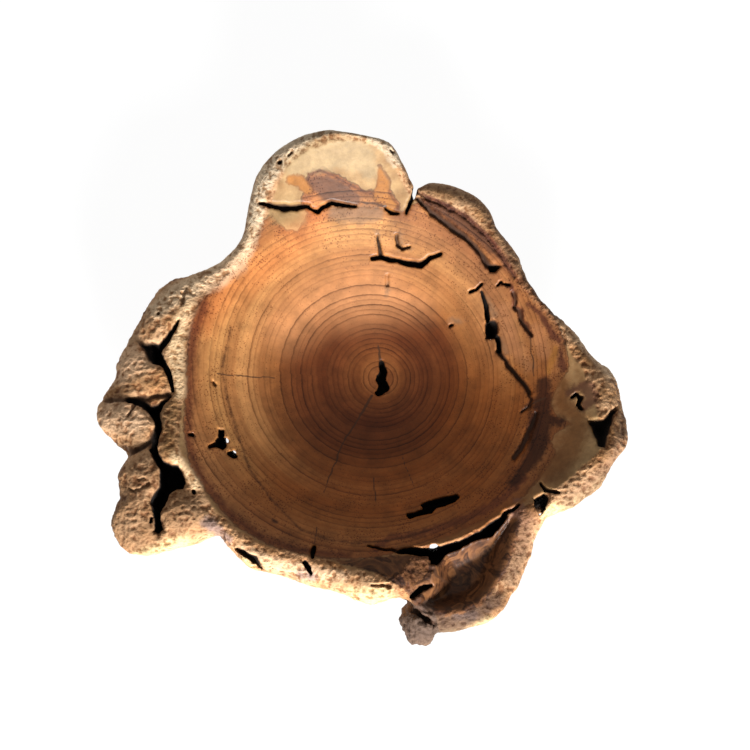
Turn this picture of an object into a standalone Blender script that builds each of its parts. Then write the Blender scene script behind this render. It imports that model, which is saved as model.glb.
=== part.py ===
"""A carved burl bowl, grown and cut as one piece of wood, in metres with +Z up.

The origin is on the flat foot, straight under the pith. Every size below is in millimetres
and is turned to metres when the mesh is made.
"""

from math import atan2, cos, hypot, pi, sin, sqrt

import bmesh
import bpy
import numpy as np
from mathutils import Matrix, Vector

MM = 0.001

# The carved hollow is a dish that is flat at the pith and steepens towards the rim.
FLOOR_HEIGHT = 26.0
DISH_RISE = 110.0
DISH_RADIUS = 130.0

# The outside runs from a sanded flat foot up to the natural edge of the burl.
FOOT_RADIUS = 94.0
FOOT_FOLLOWS_EDGE = 0.10
FOOT_CHAMFER = 3.0
MEAN_EDGE = 180.0
BELLY = 1.8
FRONT_BELLY = 1.0
SHOULDER_DROP = 0.35
MOST_DROP = 11.0
CROWN = 3.0

# How finely the skin is drawn.
SPOKE_SPACING = 13.0
SPLINE_STEPS = 10
WALL_LEVELS = (0.05, 0.16, 0.30, 0.46, 0.62, 0.80, 1.0)
SHOULDER_LEVELS = (0.88, 0.66, 0.40, 0.18)
DISH_LEVELS = (1.0, 0.93, 0.84, 0.73, 0.60, 0.45, 0.29, 0.13)

# The natural edge seen from above, anticlockwise, one group of points for each stretch.
RIGHT_FLARE = [(198, -34), (194, -14), (175, 7)]
UPPER_RIGHT_RIDGE = [
    (161, 29), (138, 52), (126, 73), (117, 98), (101, 120), (90, 142), (68, 157), (44, 163),
]
TOP_LOBE = [(29, 158), (18, 175), (6, 190), (-19, 193), (-45, 201), (-67, 194), (-90, 182), (-107, 165)]
LEFT_NECK = [(-115, 139), (-121, 111), (-139, 89), (-166, 78)]
UPPER_LEFT = [(-186, 69), (-201, 48), (-211, 25)]
LEFT_ROOTS = [(-222, 1), (-225, -18), (-236, -36), (-237, -55), (-224, -70), (-212, -83), (-217, -100)]
LOWER_LEFT_ROOT = [(-215, -118), (-220, -138), (-215, -157), (-197, -166), (-165, -159), (-137, -151)]
FRONT_RIM = [(-126, -160), (-108, -177), (-89, -180), (-64, -188), (-38, -195), (-12, -204), (8, -200)]
SPUR = [(20, -201), (27, -211), (46, -225), (67, -224), (90, -216), (107, -195), (120, -168), (127, -149)]
LOWER_RIGHT = [(137, -134), (159, -125), (177, -111), (190, -91), (201, -74), (201, -54)]
EDGE = (
    RIGHT_FLARE + UPPER_RIGHT_RIDGE + TOP_LOBE + LEFT_NECK + UPPER_LEFT
    + LEFT_ROOTS + LOWER_LEFT_ROOT + FRONT_RIM + SPUR + LOWER_RIGHT
)

# Where the carved dish ends and the natural edge begins, in the same order.
DISH_EDGE = [
    (169, -15), (157, 8), (138, 41), (118, 68), (100, 92), (86, 112), (70, 127), (48, 136), (27, 143),
    (14, 163), (0, 180), (-26, 187), (-54, 181), (-76, 168), (-89, 148), (-99, 122), (-110, 99),
    (-124, 80), (-142, 60), (-156, 42), (-161, 12), (-164, -20), (-166, -56), (-164, -86), (-148, -110),
    (-134, -132), (-105, -155), (-78, -164), (-52, -169), (-27, -177), (-4, -182), (12, -182),
    (30, -160), (56, -154), (84, -141), (112, -128), (136, -116), (160, -99), (177, -82), (179, -64),
]

# The dished inner face of the spur, as an ellipsoid bitten out of its top.
SPUR_SCOOP = {"centre": (66, -187, 122), "radii": (50, 36, 52)}
KNOB = {"centre": (31, -216, 71), "radii": (17, 21, 23)}

# Cracks and bark pockets that open upwards: (x, y, half width) along each, and the height of its floor.
OPEN_TOP = 150.0
CREVICES = {
    "pith_hole": ([(1, 14, 3), (2, 5, 4), (0, -3, 5), (2, -12, 5)], 10),
    "curved_slot": ([(-8, 102, 2), (-1, 101, 3), (12, 98, 3), (28, 95, 3), (38, 97, 3), (49, 101, 2)], 45),
    "ridge_channel": ([(40, 136, 2), (54, 126, 3), (68, 116, 3), (80, 105, 3), (88, 95, 3), (97, 85, 4)], 58),
    "right_slit": ([(86, 68, 2), (90, 54, 3), (93, 43, 5), (95, 33, 6), (99, 25, 2), (101, 15, 2)], 32),
    "knot_hole": ([(158, -31, 2), (164, -34, 3), (165, -44, 2)], 80),
    "flare_pocket": ([(169, -53, 2), (178, -60, 6), (186, -52, 5), (195, -43, 2)], 84),
    "flare_pocket_tail": ([(179, -60, 5), (181, -70, 4), (182, -82, 2)], 88),
    "rim_hole": ([(132, -116, 3), (130, -124, 6), (128, -132, 3)], 70),
    "front_slot": ([(20, -130, 3), (31, -126, 4), (43, -119, 5), (60, -114, 4)], 46),
    "spur_groove": (
        [(12, -162, 2), (25, -162, 4), (44, -163, 5), (60, -157, 4), (76, -149, 3), (90, -142, 4)]
        + [(101, -132, 2)],
        62,
    ),
    "left_pocket": ([(-134, -58, 3), (-134, -66, 3), (-133, -74, 4)], 62),
    "upper_gap": (
        [(-206, 17, 2), (-196, 11, 4), (-188, 5, 5), (-185, -5, 4), (-179, -12, 2), (-174, -27, 2)],
        62,
    ),
    "upper_gap_arm": ([(-187, 10, 3), (-179, 18, 2), (-172, 32, 1)], 84),
    "middle_gap": ([(-208, -37, 2), (-198, -41, 2), (-189, -46, 5), (-184, -57, 2)], 62),
    "middle_gap_arm": ([(-190, -44, 3), (-184, -40, 3), (-176, -34, 1)], 72),
    "lower_gap": (
        [(-184, -62, 2), (-187, -78, 2), (-179, -93, 4), (-169, -102, 8), (-173, -113, 6), (-183, -123, 4)]
        + [(-182, -138, 3), (-181, -149, 2)],
        54,
    ),
    "top_crack": (
        [(-103, 137, 1), (-84, 134, 3), (-63, 136, 2), (-55, 134, 2), (-40, 141, 2), (-22, 139, 1)]
        + [(-4, 139, 1), (9, 135, 2), (16, 136, 1)],
        72,
    ),
}

# Worm and rot holes that go right through the wall: top point, foot point and the two radii.
TUNNEL_SIDES = 12
TUNNELS = {
    "groove_tunnel": ((43, -163, 106), (43, -134, -10), 2, 7),
    "pocket_tunnel": ((-130, -72, 98), (-130, -45, -12), 2, 7),
    "small_tunnel": ((-124, -82, 96), (-124, -55, -12), 2, 6),
}

WOOD_COLOUR = (0.30, 0.15, 0.075, 1.0)
WOOD_ROUGHNESS = 0.5
SHARP_ANGLE = 0.7


def smooth_loop(points, steps):
    """Return a closed Catmull-Rom curve through the points, with that many steps between two."""
    p = np.array(points, dtype=float)
    before, after, far = np.roll(p, 1, axis=0), np.roll(p, -1, axis=0), np.roll(p, -2, axis=0)
    runs = []
    for t in np.arange(steps) / steps:
        run = 2 * p + (after - before) * t
        run += (2 * before - 5 * p + 4 * after - far) * t**2
        run += (3 * p - before - 3 * after + far) * t**3
        runs.append(run / 2)
    return np.stack(runs, axis=1).reshape(-1, 2)


def polar_radius(points):
    """Return a function that gives the radius of a closed curve at an angle about the pith."""
    curve = smooth_loop(points, SPLINE_STEPS)
    angle = np.arctan2(curve[:, 1], curve[:, 0])
    order = np.argsort(angle)
    angle, radius = angle[order], np.hypot(curve[:, 0], curve[:, 1])[order]
    return lambda at: float(np.interp(at, angle, radius, period=2 * pi))


def spoke_ends():
    """Return points on the natural edge, evenly spaced along it, in order of their angle."""
    curve = smooth_loop(EDGE, SPLINE_STEPS)
    closed = np.vstack([curve, curve[:1]])
    along = np.concatenate([[0.0], np.cumsum(np.hypot(*np.diff(closed, axis=0).T))])
    count = round(along[-1] / SPOKE_SPACING)
    at = np.arange(count) * along[-1] / count
    ends = np.column_stack([np.interp(at, along, closed[:, k]) for k in (0, 1)])
    return sorted(ends.tolist(), key=lambda end: atan2(end[1], end[0]))


def dish_height(radius):
    """Return the height of the carved surface at a radius from the pith."""
    return FLOOR_HEIGHT + DISH_RISE * (sqrt(1 + (radius / DISH_RADIUS) ** 2) - 1)


def belly(angle):
    """Return how full the wall is under the edge: the front stands the steepest."""
    return BELLY + FRONT_BELLY * max(0.0, -sin(angle)) ** 2


def scooped(x, y, z):
    """Return a height on the spur, lowered to the scoop's floor where the scoop reaches."""
    (cx, cy, cz), (rx, ry, rz) = SPUR_SCOOP["centre"], SPUR_SCOOP["radii"]
    left = 1 - ((x - cx) / rx) ** 2 - ((y - cy) / ry) ** 2
    if left <= 0:
        return z
    return min(z, cz - rz * sqrt(left))


def spoke_profile(end, dish_edge):
    """Return the points of one spoke, from the foot, up the wall, over the edge and down the dish."""
    angle, edge = atan2(end[1], end[0]), hypot(*end)
    inner = min(dish_edge(angle), edge - 6.0)
    rim = dish_height(inner)
    drop = min(SHOULDER_DROP * (edge - inner), MOST_DROP)
    widest = rim - drop
    foot = FOOT_RADIUS + FOOT_FOLLOWS_EDGE * (edge - MEAN_EDGE)
    profile = [(foot - FOOT_CHAMFER, 0.0)]
    for level in WALL_LEVELS:
        out = 1 - (1 - level) ** belly(angle)
        profile.append((foot + (edge - foot) * out, widest * level))
    for level in SHOULDER_LEVELS:
        height = rim + CROWN * sin(pi * level) - drop * level**3
        profile.append((inner + (edge - inner) * level, height))
    for level in DISH_LEVELS:
        profile.append((inner * level, dish_height(inner * level)))
    points = [(r * cos(angle), r * sin(angle), z) for r, z in profile]
    last_shoulder = 1 + len(WALL_LEVELS) + len(SHOULDER_LEVELS)
    for k in range(1 + len(WALL_LEVELS), last_shoulder):
        points[k] = (*points[k][:2], scooped(*points[k]))
    return points


def new_object(name, bm):
    """Turn a bmesh in millimetres into an object of that name in metres."""
    bmesh.ops.recalc_face_normals(bm, faces=bm.faces)
    bmesh.ops.scale(bm, vec=(MM, MM, MM), verts=bm.verts)
    mesh = bpy.data.meshes.new(name)
    bm.to_mesh(mesh)
    bm.free()
    made = bpy.data.objects.new(name, mesh)
    bpy.context.collection.objects.link(made)
    return made


def make_body():
    """Build the whole bowl as rings of points about the pith, closed at the foot and at the floor."""
    bm = bmesh.new()
    dish_edge = polar_radius(DISH_EDGE)
    spokes = [[bm.verts.new(p) for p in spoke_profile(end, dish_edge)] for end in spoke_ends()]
    bm.faces.new([spoke[0] for spoke in spokes])
    pith = bm.verts.new((0, 0, FLOOR_HEIGHT))
    for spoke, following in zip(spokes, spokes[1:] + spokes[:1]):
        bm.faces.new((pith, spoke[-1], following[-1]))
        for k in range(len(spoke) - 1):
            bm.faces.new((spoke[k], following[k], following[k + 1], spoke[k + 1]))
    return new_object("burl", bm)


def make_cutter(name, bm):
    """Make a wire-drawn object that only cuts."""
    cutter = new_object(name, bm)
    cutter.hide_render = True
    cutter.display_type = "WIRE"
    return cutter


def make_crevice(name, spine, floor):
    """Build an upright ribbon along a spine, as wide as the crevice is at each of its points."""
    bm = bmesh.new()
    left, right = [], []
    for k, (x, y, half) in enumerate(spine):
        before, after = spine[max(k - 1, 0)], spine[min(k + 1, len(spine) - 1)]
        run = Vector((after[0] - before[0], after[1] - before[1])).normalized()
        left.append((x - run.y * half, y + run.x * half))
        right.append((x + run.y * half, y - run.x * half))
    outline = [bm.verts.new((x, y, floor)) for x, y in left + right[::-1]]
    base = bm.faces.new(outline)
    grown = bmesh.ops.extrude_face_region(bm, geom=[base])
    raised = [item for item in grown["geom"] if isinstance(item, bmesh.types.BMVert)]
    bmesh.ops.translate(bm, verts=raised, vec=(0, 0, OPEN_TOP - floor))
    bmesh.ops.triangulate(bm, faces=[f for f in bm.faces if len(f.verts) > 4])
    return make_cutter(name, bm)


def make_tunnel(name, top, foot, top_radius, foot_radius):
    """Build a leaning cone that goes in at the top point and comes out under the wall."""
    top, foot = Vector(top), Vector(foot)
    lean = (top - foot).to_track_quat("Z", "Y").to_matrix().to_4x4()
    place = Matrix.Translation((top + foot) / 2) @ lean
    bm = bmesh.new()
    bmesh.ops.create_cone(
        bm, cap_ends=True, segments=TUNNEL_SIDES, matrix=place,
        radius1=foot_radius, radius2=top_radius, depth=(top - foot).length,
    )
    return make_cutter(name, bm)


def make_knob():
    """Build the knob at the tip of the spur, a ball that the body takes in."""
    place = Matrix.Translation(KNOB["centre"]) @ Matrix.Diagonal((*KNOB["radii"], 1))
    bm = bmesh.new()
    bmesh.ops.create_icosphere(bm, subdivisions=3, radius=1, matrix=place)
    return make_cutter("knob_form", bm)


def combine(body, other, operation):
    """Join a form to the body, or cut it away, with a Boolean that stays on the body."""
    step = body.modifiers.new(other.name, "BOOLEAN")
    step.object = other
    step.operation = operation
    step.solver = "EXACT"


def oiled_burl():
    """Return the wood: warm brown, with the low sheen of an oil finish."""
    wood = bpy.data.materials.new("oiled_burl")
    wood.use_nodes = True
    shader = wood.node_tree.nodes["Principled BSDF"]
    shader.inputs["Base Color"].default_value = WOOD_COLOUR
    shader.inputs["Roughness"].default_value = WOOD_ROUGHNESS
    shader.inputs["Metallic"].default_value = 0.0
    return wood


def main():
    """Clear the scene, build the bowl and cut its crevices and holes."""
    for old in list(bpy.data.objects):
        bpy.data.objects.remove(old, do_unlink=True)
    body = make_body()
    body.data.materials.append(oiled_burl())
    combine(body, make_knob(), "UNION")
    for name, (spine, floor) in CREVICES.items():
        combine(body, make_crevice(name, spine, floor), "DIFFERENCE")
    for name, tunnel in TUNNELS.items():
        combine(body, make_tunnel(name, *tunnel), "DIFFERENCE")
    body.data.shade_smooth()
    body.data.set_sharp_from_angle(angle=SHARP_ANGLE)


main()
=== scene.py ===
"""A bowl carved across a tree burl, standing alone on a bright studio table.

The wood is one piece, so it is one skin: a solid is described by a field in millimetres, drawn as a
fine mesh, roughened where it was only brushed, and dressed with one oiled wood that changes from
heartwood to sapwood, burl figure, bark pockets and cracks.
"""

import logging
from dataclasses import dataclass
from enum import Enum

import bpy
import numpy as np
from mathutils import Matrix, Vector


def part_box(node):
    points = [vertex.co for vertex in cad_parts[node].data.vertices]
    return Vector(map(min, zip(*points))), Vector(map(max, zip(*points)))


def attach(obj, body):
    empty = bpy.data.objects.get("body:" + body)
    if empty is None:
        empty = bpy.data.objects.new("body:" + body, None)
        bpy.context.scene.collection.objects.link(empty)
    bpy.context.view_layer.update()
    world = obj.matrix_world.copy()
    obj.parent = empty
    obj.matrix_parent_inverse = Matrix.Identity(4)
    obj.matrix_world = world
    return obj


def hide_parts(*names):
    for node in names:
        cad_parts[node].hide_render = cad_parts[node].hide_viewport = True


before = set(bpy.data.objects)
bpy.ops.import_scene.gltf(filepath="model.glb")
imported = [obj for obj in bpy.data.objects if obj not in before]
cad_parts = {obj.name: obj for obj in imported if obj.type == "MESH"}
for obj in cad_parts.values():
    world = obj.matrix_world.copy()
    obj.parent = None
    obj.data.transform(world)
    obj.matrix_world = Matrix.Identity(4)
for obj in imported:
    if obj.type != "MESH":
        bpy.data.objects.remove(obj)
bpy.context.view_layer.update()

MM = 0.001
CAD_LOW, CAD_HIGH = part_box("burl")
LOG = logging.getLogger("burl_bowl")

Array = np.ndarray
Spine = list[tuple[float, float, float]]
Outline = list[tuple[float, float]]


class Lip(Enum):
    """How the mouth of a hole is rounded, as a width in millimetres."""

    CUT = 0.9
    WORN = 2.2
    GROWN = 5.0


class Lattice:
    """Smooth random values on a repeating lattice. One seed always gives the same ones."""

    SIZE = 32
    # how far each finer layer is moved, so that the layers don't line up
    SHIFT = 7.3
    # brings the sum of the layers back to about -1 to 1
    SPREAD = 1.5

    def __init__(self, seed: int) -> None:
        """Draw the lattice's values, from -1 to 1."""
        side = self.SIZE
        self.values = np.random.default_rng(seed).uniform(-1, 1, (side, side, side)).astype(np.float32)

    def at(self, x: Array, y: Array, z: Array | float = 0.0) -> Array:
        """Read the lattice between its points.

        Args:
            x, y, z: places in lattice steps.

        Returns:
            A smooth value from -1 to 1 at each place.
        """
        low, share = [], []
        for value in np.broadcast_arrays(x, y, z):
            step = np.floor(value)
            part = value - step
            low.append(step.astype(np.int64))
            share.append(part * part * (3 - 2 * part))
        total = 0.0
        for corner in range(8):
            offset = [(corner >> k) & 1 for k in range(3)]
            index = tuple((low[k] + offset[k]) % self.SIZE for k in range(3))
            weight = 1.0
            for k in range(3):
                weight = weight * (share[k] if offset[k] else 1 - share[k])
            total = total + weight * self.values[index]
        return total

    def layered(self, x: Array, y: Array, z: Array | float = 0.0, layers: int = 3) -> Array:
        """Add finer and fainter layers of the lattice.

        Args:
            x, y, z: places in steps of the coarsest layer.
            layers: how many layers, each twice as fine and half as strong.

        Returns:
            A value of about -1 to 1 at each place.
        """
        total, strength, sum_of_strengths = 0.0, 1.0, 0.0
        for layer in range(layers):
            scale = 2.0**layer
            shift = self.SHIFT * layer
            total = total + strength * self.at(x * scale + shift, y * scale - shift, z * scale + shift)
            sum_of_strengths += strength
            strength /= 2
        return total / sum_of_strengths * self.SPREAD


@dataclass(frozen=True)
class Span:
    """A stretch of one value, and the stretch of another value that it turns into."""

    start: float
    end: float
    low: float = 0.0
    high: float = 1.0

    def inputs(self, value: bpy.types.NodeSocket) -> dict:
        """Return a map range node's inputs for the value."""
        return {"Value": value, 1: self.start, 2: self.end, 3: self.low, 4: self.high}

    def eased(self, value: Array) -> Array:
        """Return low before start, high after end and a smooth rise between."""
        return self.low + (self.high - self.low) * ease(value, self.start, self.end)


def ease(value: Array, start: float, end: float) -> Array:
    """Return 0 before start, 1 after end and a smooth rise between."""
    part = np.clip((value - start) / (end - start), 0, 1)
    return part * part * (3 - 2 * part)


def soft_max(one: Array, other: Array, width: float) -> Array:
    """Return the larger of two values, rounded where they are nearly equal."""
    meet = np.clip(1 - np.abs(one - other) / width, 0, None)
    return np.maximum(one, other) + meet * meet * width / 4


def along_spine(x: Array, y: Array, spine: Spine) -> tuple[Array, Array]:
    """Measure how far outside a bent line with a changing half width each place lies.

    Args:
        x, y: places in plan, in millimetres.
        spine: the line's points, each with its half width.

    Returns:
        The distance past the line's side, and the half width there. The distance is negative inside.
    """
    best, half = None, None
    for (ax, ay, aw), (bx, by, bw) in zip(spine, spine[1:]):
        run_x, run_y = bx - ax, by - ay
        length = max(run_x * run_x + run_y * run_y, 1e-6)
        part = np.clip(((x - ax) * run_x + (y - ay) * run_y) / length, 0, 1)
        width = aw + (bw - aw) * part
        gap = np.hypot(x - ax - run_x * part, y - ay - run_y * part) - width
        if best is None:
            best, half = gap, width
        else:
            half = np.where(gap < best, width, half)
            best = np.minimum(gap, best)
    return best, half


def inside_outline(x: Array, y: Array, outline: Outline) -> Array:
    """Measure how far inside a closed outline each place lies.

    Args:
        x, y: places in plan, in millimetres.
        outline: the corners of the outline, in order.

    Returns:
        The distance to the outline, positive inside and negative outside.
    """
    nearest = np.full(x.shape, 1e9)
    inside = np.zeros(x.shape, dtype=bool)
    for (ax, ay), (bx, by) in zip(outline, outline[1:] + outline[:1]):
        run_x, run_y = bx - ax, by - ay
        part = np.clip(((x - ax) * run_x + (y - ay) * run_y) / (run_x * run_x + run_y * run_y), 0, 1)
        nearest = np.minimum(nearest, np.hypot(x - ax - run_x * part, y - ay - run_y * part))
        crosses = (ay > y) != (by > y)
        inside ^= crosses & (x < ax + (y - ay) * run_x / (run_y if run_y else 1e-9))
    return np.where(inside, nearest, -nearest)


def polar_table(outline: Outline) -> tuple[Array, Array]:
    """Turn a closed outline into a table of radius by angle.

    Args:
        outline: points of the outline, in millimetres about the pith, in order of their angle.

    Returns:
        The angles and the radii of a smooth curve through the points.
    """
    p = np.array(outline, dtype=float)
    before, after, far = np.roll(p, 1, axis=0), np.roll(p, -1, axis=0), np.roll(p, -2, axis=0)
    runs = []
    for t in np.arange(0, 1, 0.1):
        run = 2 * p + (after - before) * t
        run += (2 * before - 5 * p + 4 * after - far) * t**2
        run += (3 * p - before - 3 * after + far) * t**3
        runs.append(run / 2)
    curve = np.stack(runs, axis=1).reshape(-1, 2)
    angle = np.arctan2(curve[:, 1], curve[:, 0])
    order = np.argsort(angle)
    return angle[order], np.hypot(curve[:, 0], curve[:, 1])[order]


@dataclass(frozen=True)
class Hole:
    """Something missing from the wood that opens upwards, drawn in plan by a line of points."""

    name: str
    line: list[tuple[float, ...]]
    depth: float
    lip: Lip = Lip.CUT

    MARGIN = 17.0

    def reaches(self, x: Array, y: Array) -> Array:
        """Find the places that lie near enough for the hole to matter.

        Args:
            x, y: places in plan, in millimetres.

        Returns:
            True at the near places.
        """
        xs, ys = [p[0] for p in self.line], [p[1] for p in self.line]
        near_x = (x > min(xs) - self.MARGIN) & (x < max(xs) + self.MARGIN)
        return near_x & (y > min(ys) - self.MARGIN) & (y < max(ys) + self.MARGIN)


@dataclass(frozen=True)
class Pocket(Hole):
    """A crack, worm hole or narrow bark pocket. Its line's points carry a half width."""

    def hollow(self, x: Array, y: Array, z: Array, top: Array) -> Array:
        """Measure the pocket's wall, negative inside it.

        Args:
            x, y: places in plan, in millimetres, already bent a little by the ragged edge.
            z: heights of the places.
            top: height of the wood's surface over each place.

        Returns:
            About the distance to the pocket's wall.
        """
        gap, half = along_spine(x, y, self.line)
        sunk = np.clip((top - z) / self.depth, 0, None)
        across = np.clip((gap + half) / half, 0, None)
        return (np.hypot(across, sunk) - 1) * half


@dataclass(frozen=True)
class Cave(Hole):
    """A wide hole with a drawn mouth, whose walls lean in as they go down."""

    lean: float = 0.2

    def hollow(self, x: Array, y: Array, z: Array, top: Array) -> Array:
        """Measure the cave's wall, negative inside it.

        Args:
            x, y: places in plan, in millimetres, already bent a little by the ragged edge.
            z: heights of the places.
            top: height of the wood's surface over each place.

        Returns:
            About the distance to the cave's wall.
        """
        inside = inside_outline(x, y, self.line)
        leaning = self.lean * np.clip(top - z, 0, None) - inside
        return np.maximum(leaning, top - self.depth - z)


@dataclass(frozen=True)
class Tunnel:
    """A hole that leans through the wall and comes out under it."""

    top: tuple[float, float, float]
    foot: tuple[float, float, float]
    top_radius: float
    foot_radius: float

    REACH = 1.6

    def hollow(self, x: Array, y: Array, z: Array) -> Array:
        """Measure the tunnel's wall, negative inside it.

        Args:
            x, y, z: places in millimetres.

        Returns:
            The distance to the tunnel's wall.
        """
        start, run = np.array(self.top), np.array(self.foot) - np.array(self.top)
        offset = (x - start[0], y - start[1], z - start[2])
        part = np.clip(sum(o * r for o, r in zip(offset, run)) / float(run @ run), 0, 1)
        gap = np.sqrt(sum((o - r * part) ** 2 for o, r in zip(offset, run)))
        return gap - self.top_radius - (self.foot_radius - self.top_radius) * part


@dataclass(frozen=True)
class Plan:
    """What the burl does over each place in plan: radii, heights and slopes, in millimetres."""

    x: Array
    y: Array
    radius: Array
    edge: Array
    inner: Array
    foot: Array
    widest: Array
    belly: Array
    top: Array
    top_cosine: Array
    bent_x: Array
    bent_y: Array


EDGE: Outline = [
    (198, -34), (194, -14), (175, 7), (161, 29), (138, 52), (126, 73), (117, 98), (101, 120), (90, 142),
    (68, 157), (44, 163), (29, 158), (18, 175), (6, 190), (-19, 194), (-45, 198), (-67, 194), (-90, 182),
    (-107, 165), (-115, 139), (-121, 111), (-139, 89), (-166, 78), (-186, 69), (-201, 48), (-211, 25),
    (-222, 1), (-225, -18), (-236, -36), (-237, -55), (-224, -70), (-212, -83), (-217, -100),
    (-215, -118), (-220, -138), (-215, -157), (-197, -166), (-165, -159), (-137, -151), (-126, -160),
    (-108, -177), (-89, -180), (-64, -188), (-38, -195), (-12, -204), (8, -200), (20, -201), (27, -211),
    (46, -225), (67, -224), (90, -216), (107, -195), (120, -168), (127, -149), (137, -134), (159, -125),
    (177, -111), (190, -91), (201, -74), (201, -54),
]
DISH_EDGE: Outline = [
    (169, -15), (157, 8), (138, 41), (118, 68), (100, 92), (86, 112), (70, 127), (48, 136), (27, 143),
    (14, 163), (0, 180), (-26, 187), (-54, 181), (-76, 168), (-89, 148), (-99, 122), (-110, 99),
    (-124, 80), (-142, 60), (-156, 42), (-161, 12), (-164, -20), (-166, -56), (-164, -86), (-148, -110),
    (-134, -132), (-105, -155), (-78, -164), (-52, -169), (-27, -177), (-4, -182), (12, -182),
    (30, -160), (56, -154), (84, -141), (112, -128), (136, -116), (160, -99), (177, -82), (179, -64),
]
SPUR_FACE: Outline = [
    (113, -124), (112, -141), (106, -164), (98, -182), (89, -196), (79, -206), (66, -211), (49, -213),
    (36, -212), (29, -206), (30, -197), (36, -189), (40, -181), (42, -170), (48, -160), (58, -155),
    (72, -148), (84, -142), (97, -133), (106, -126),
]
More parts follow.
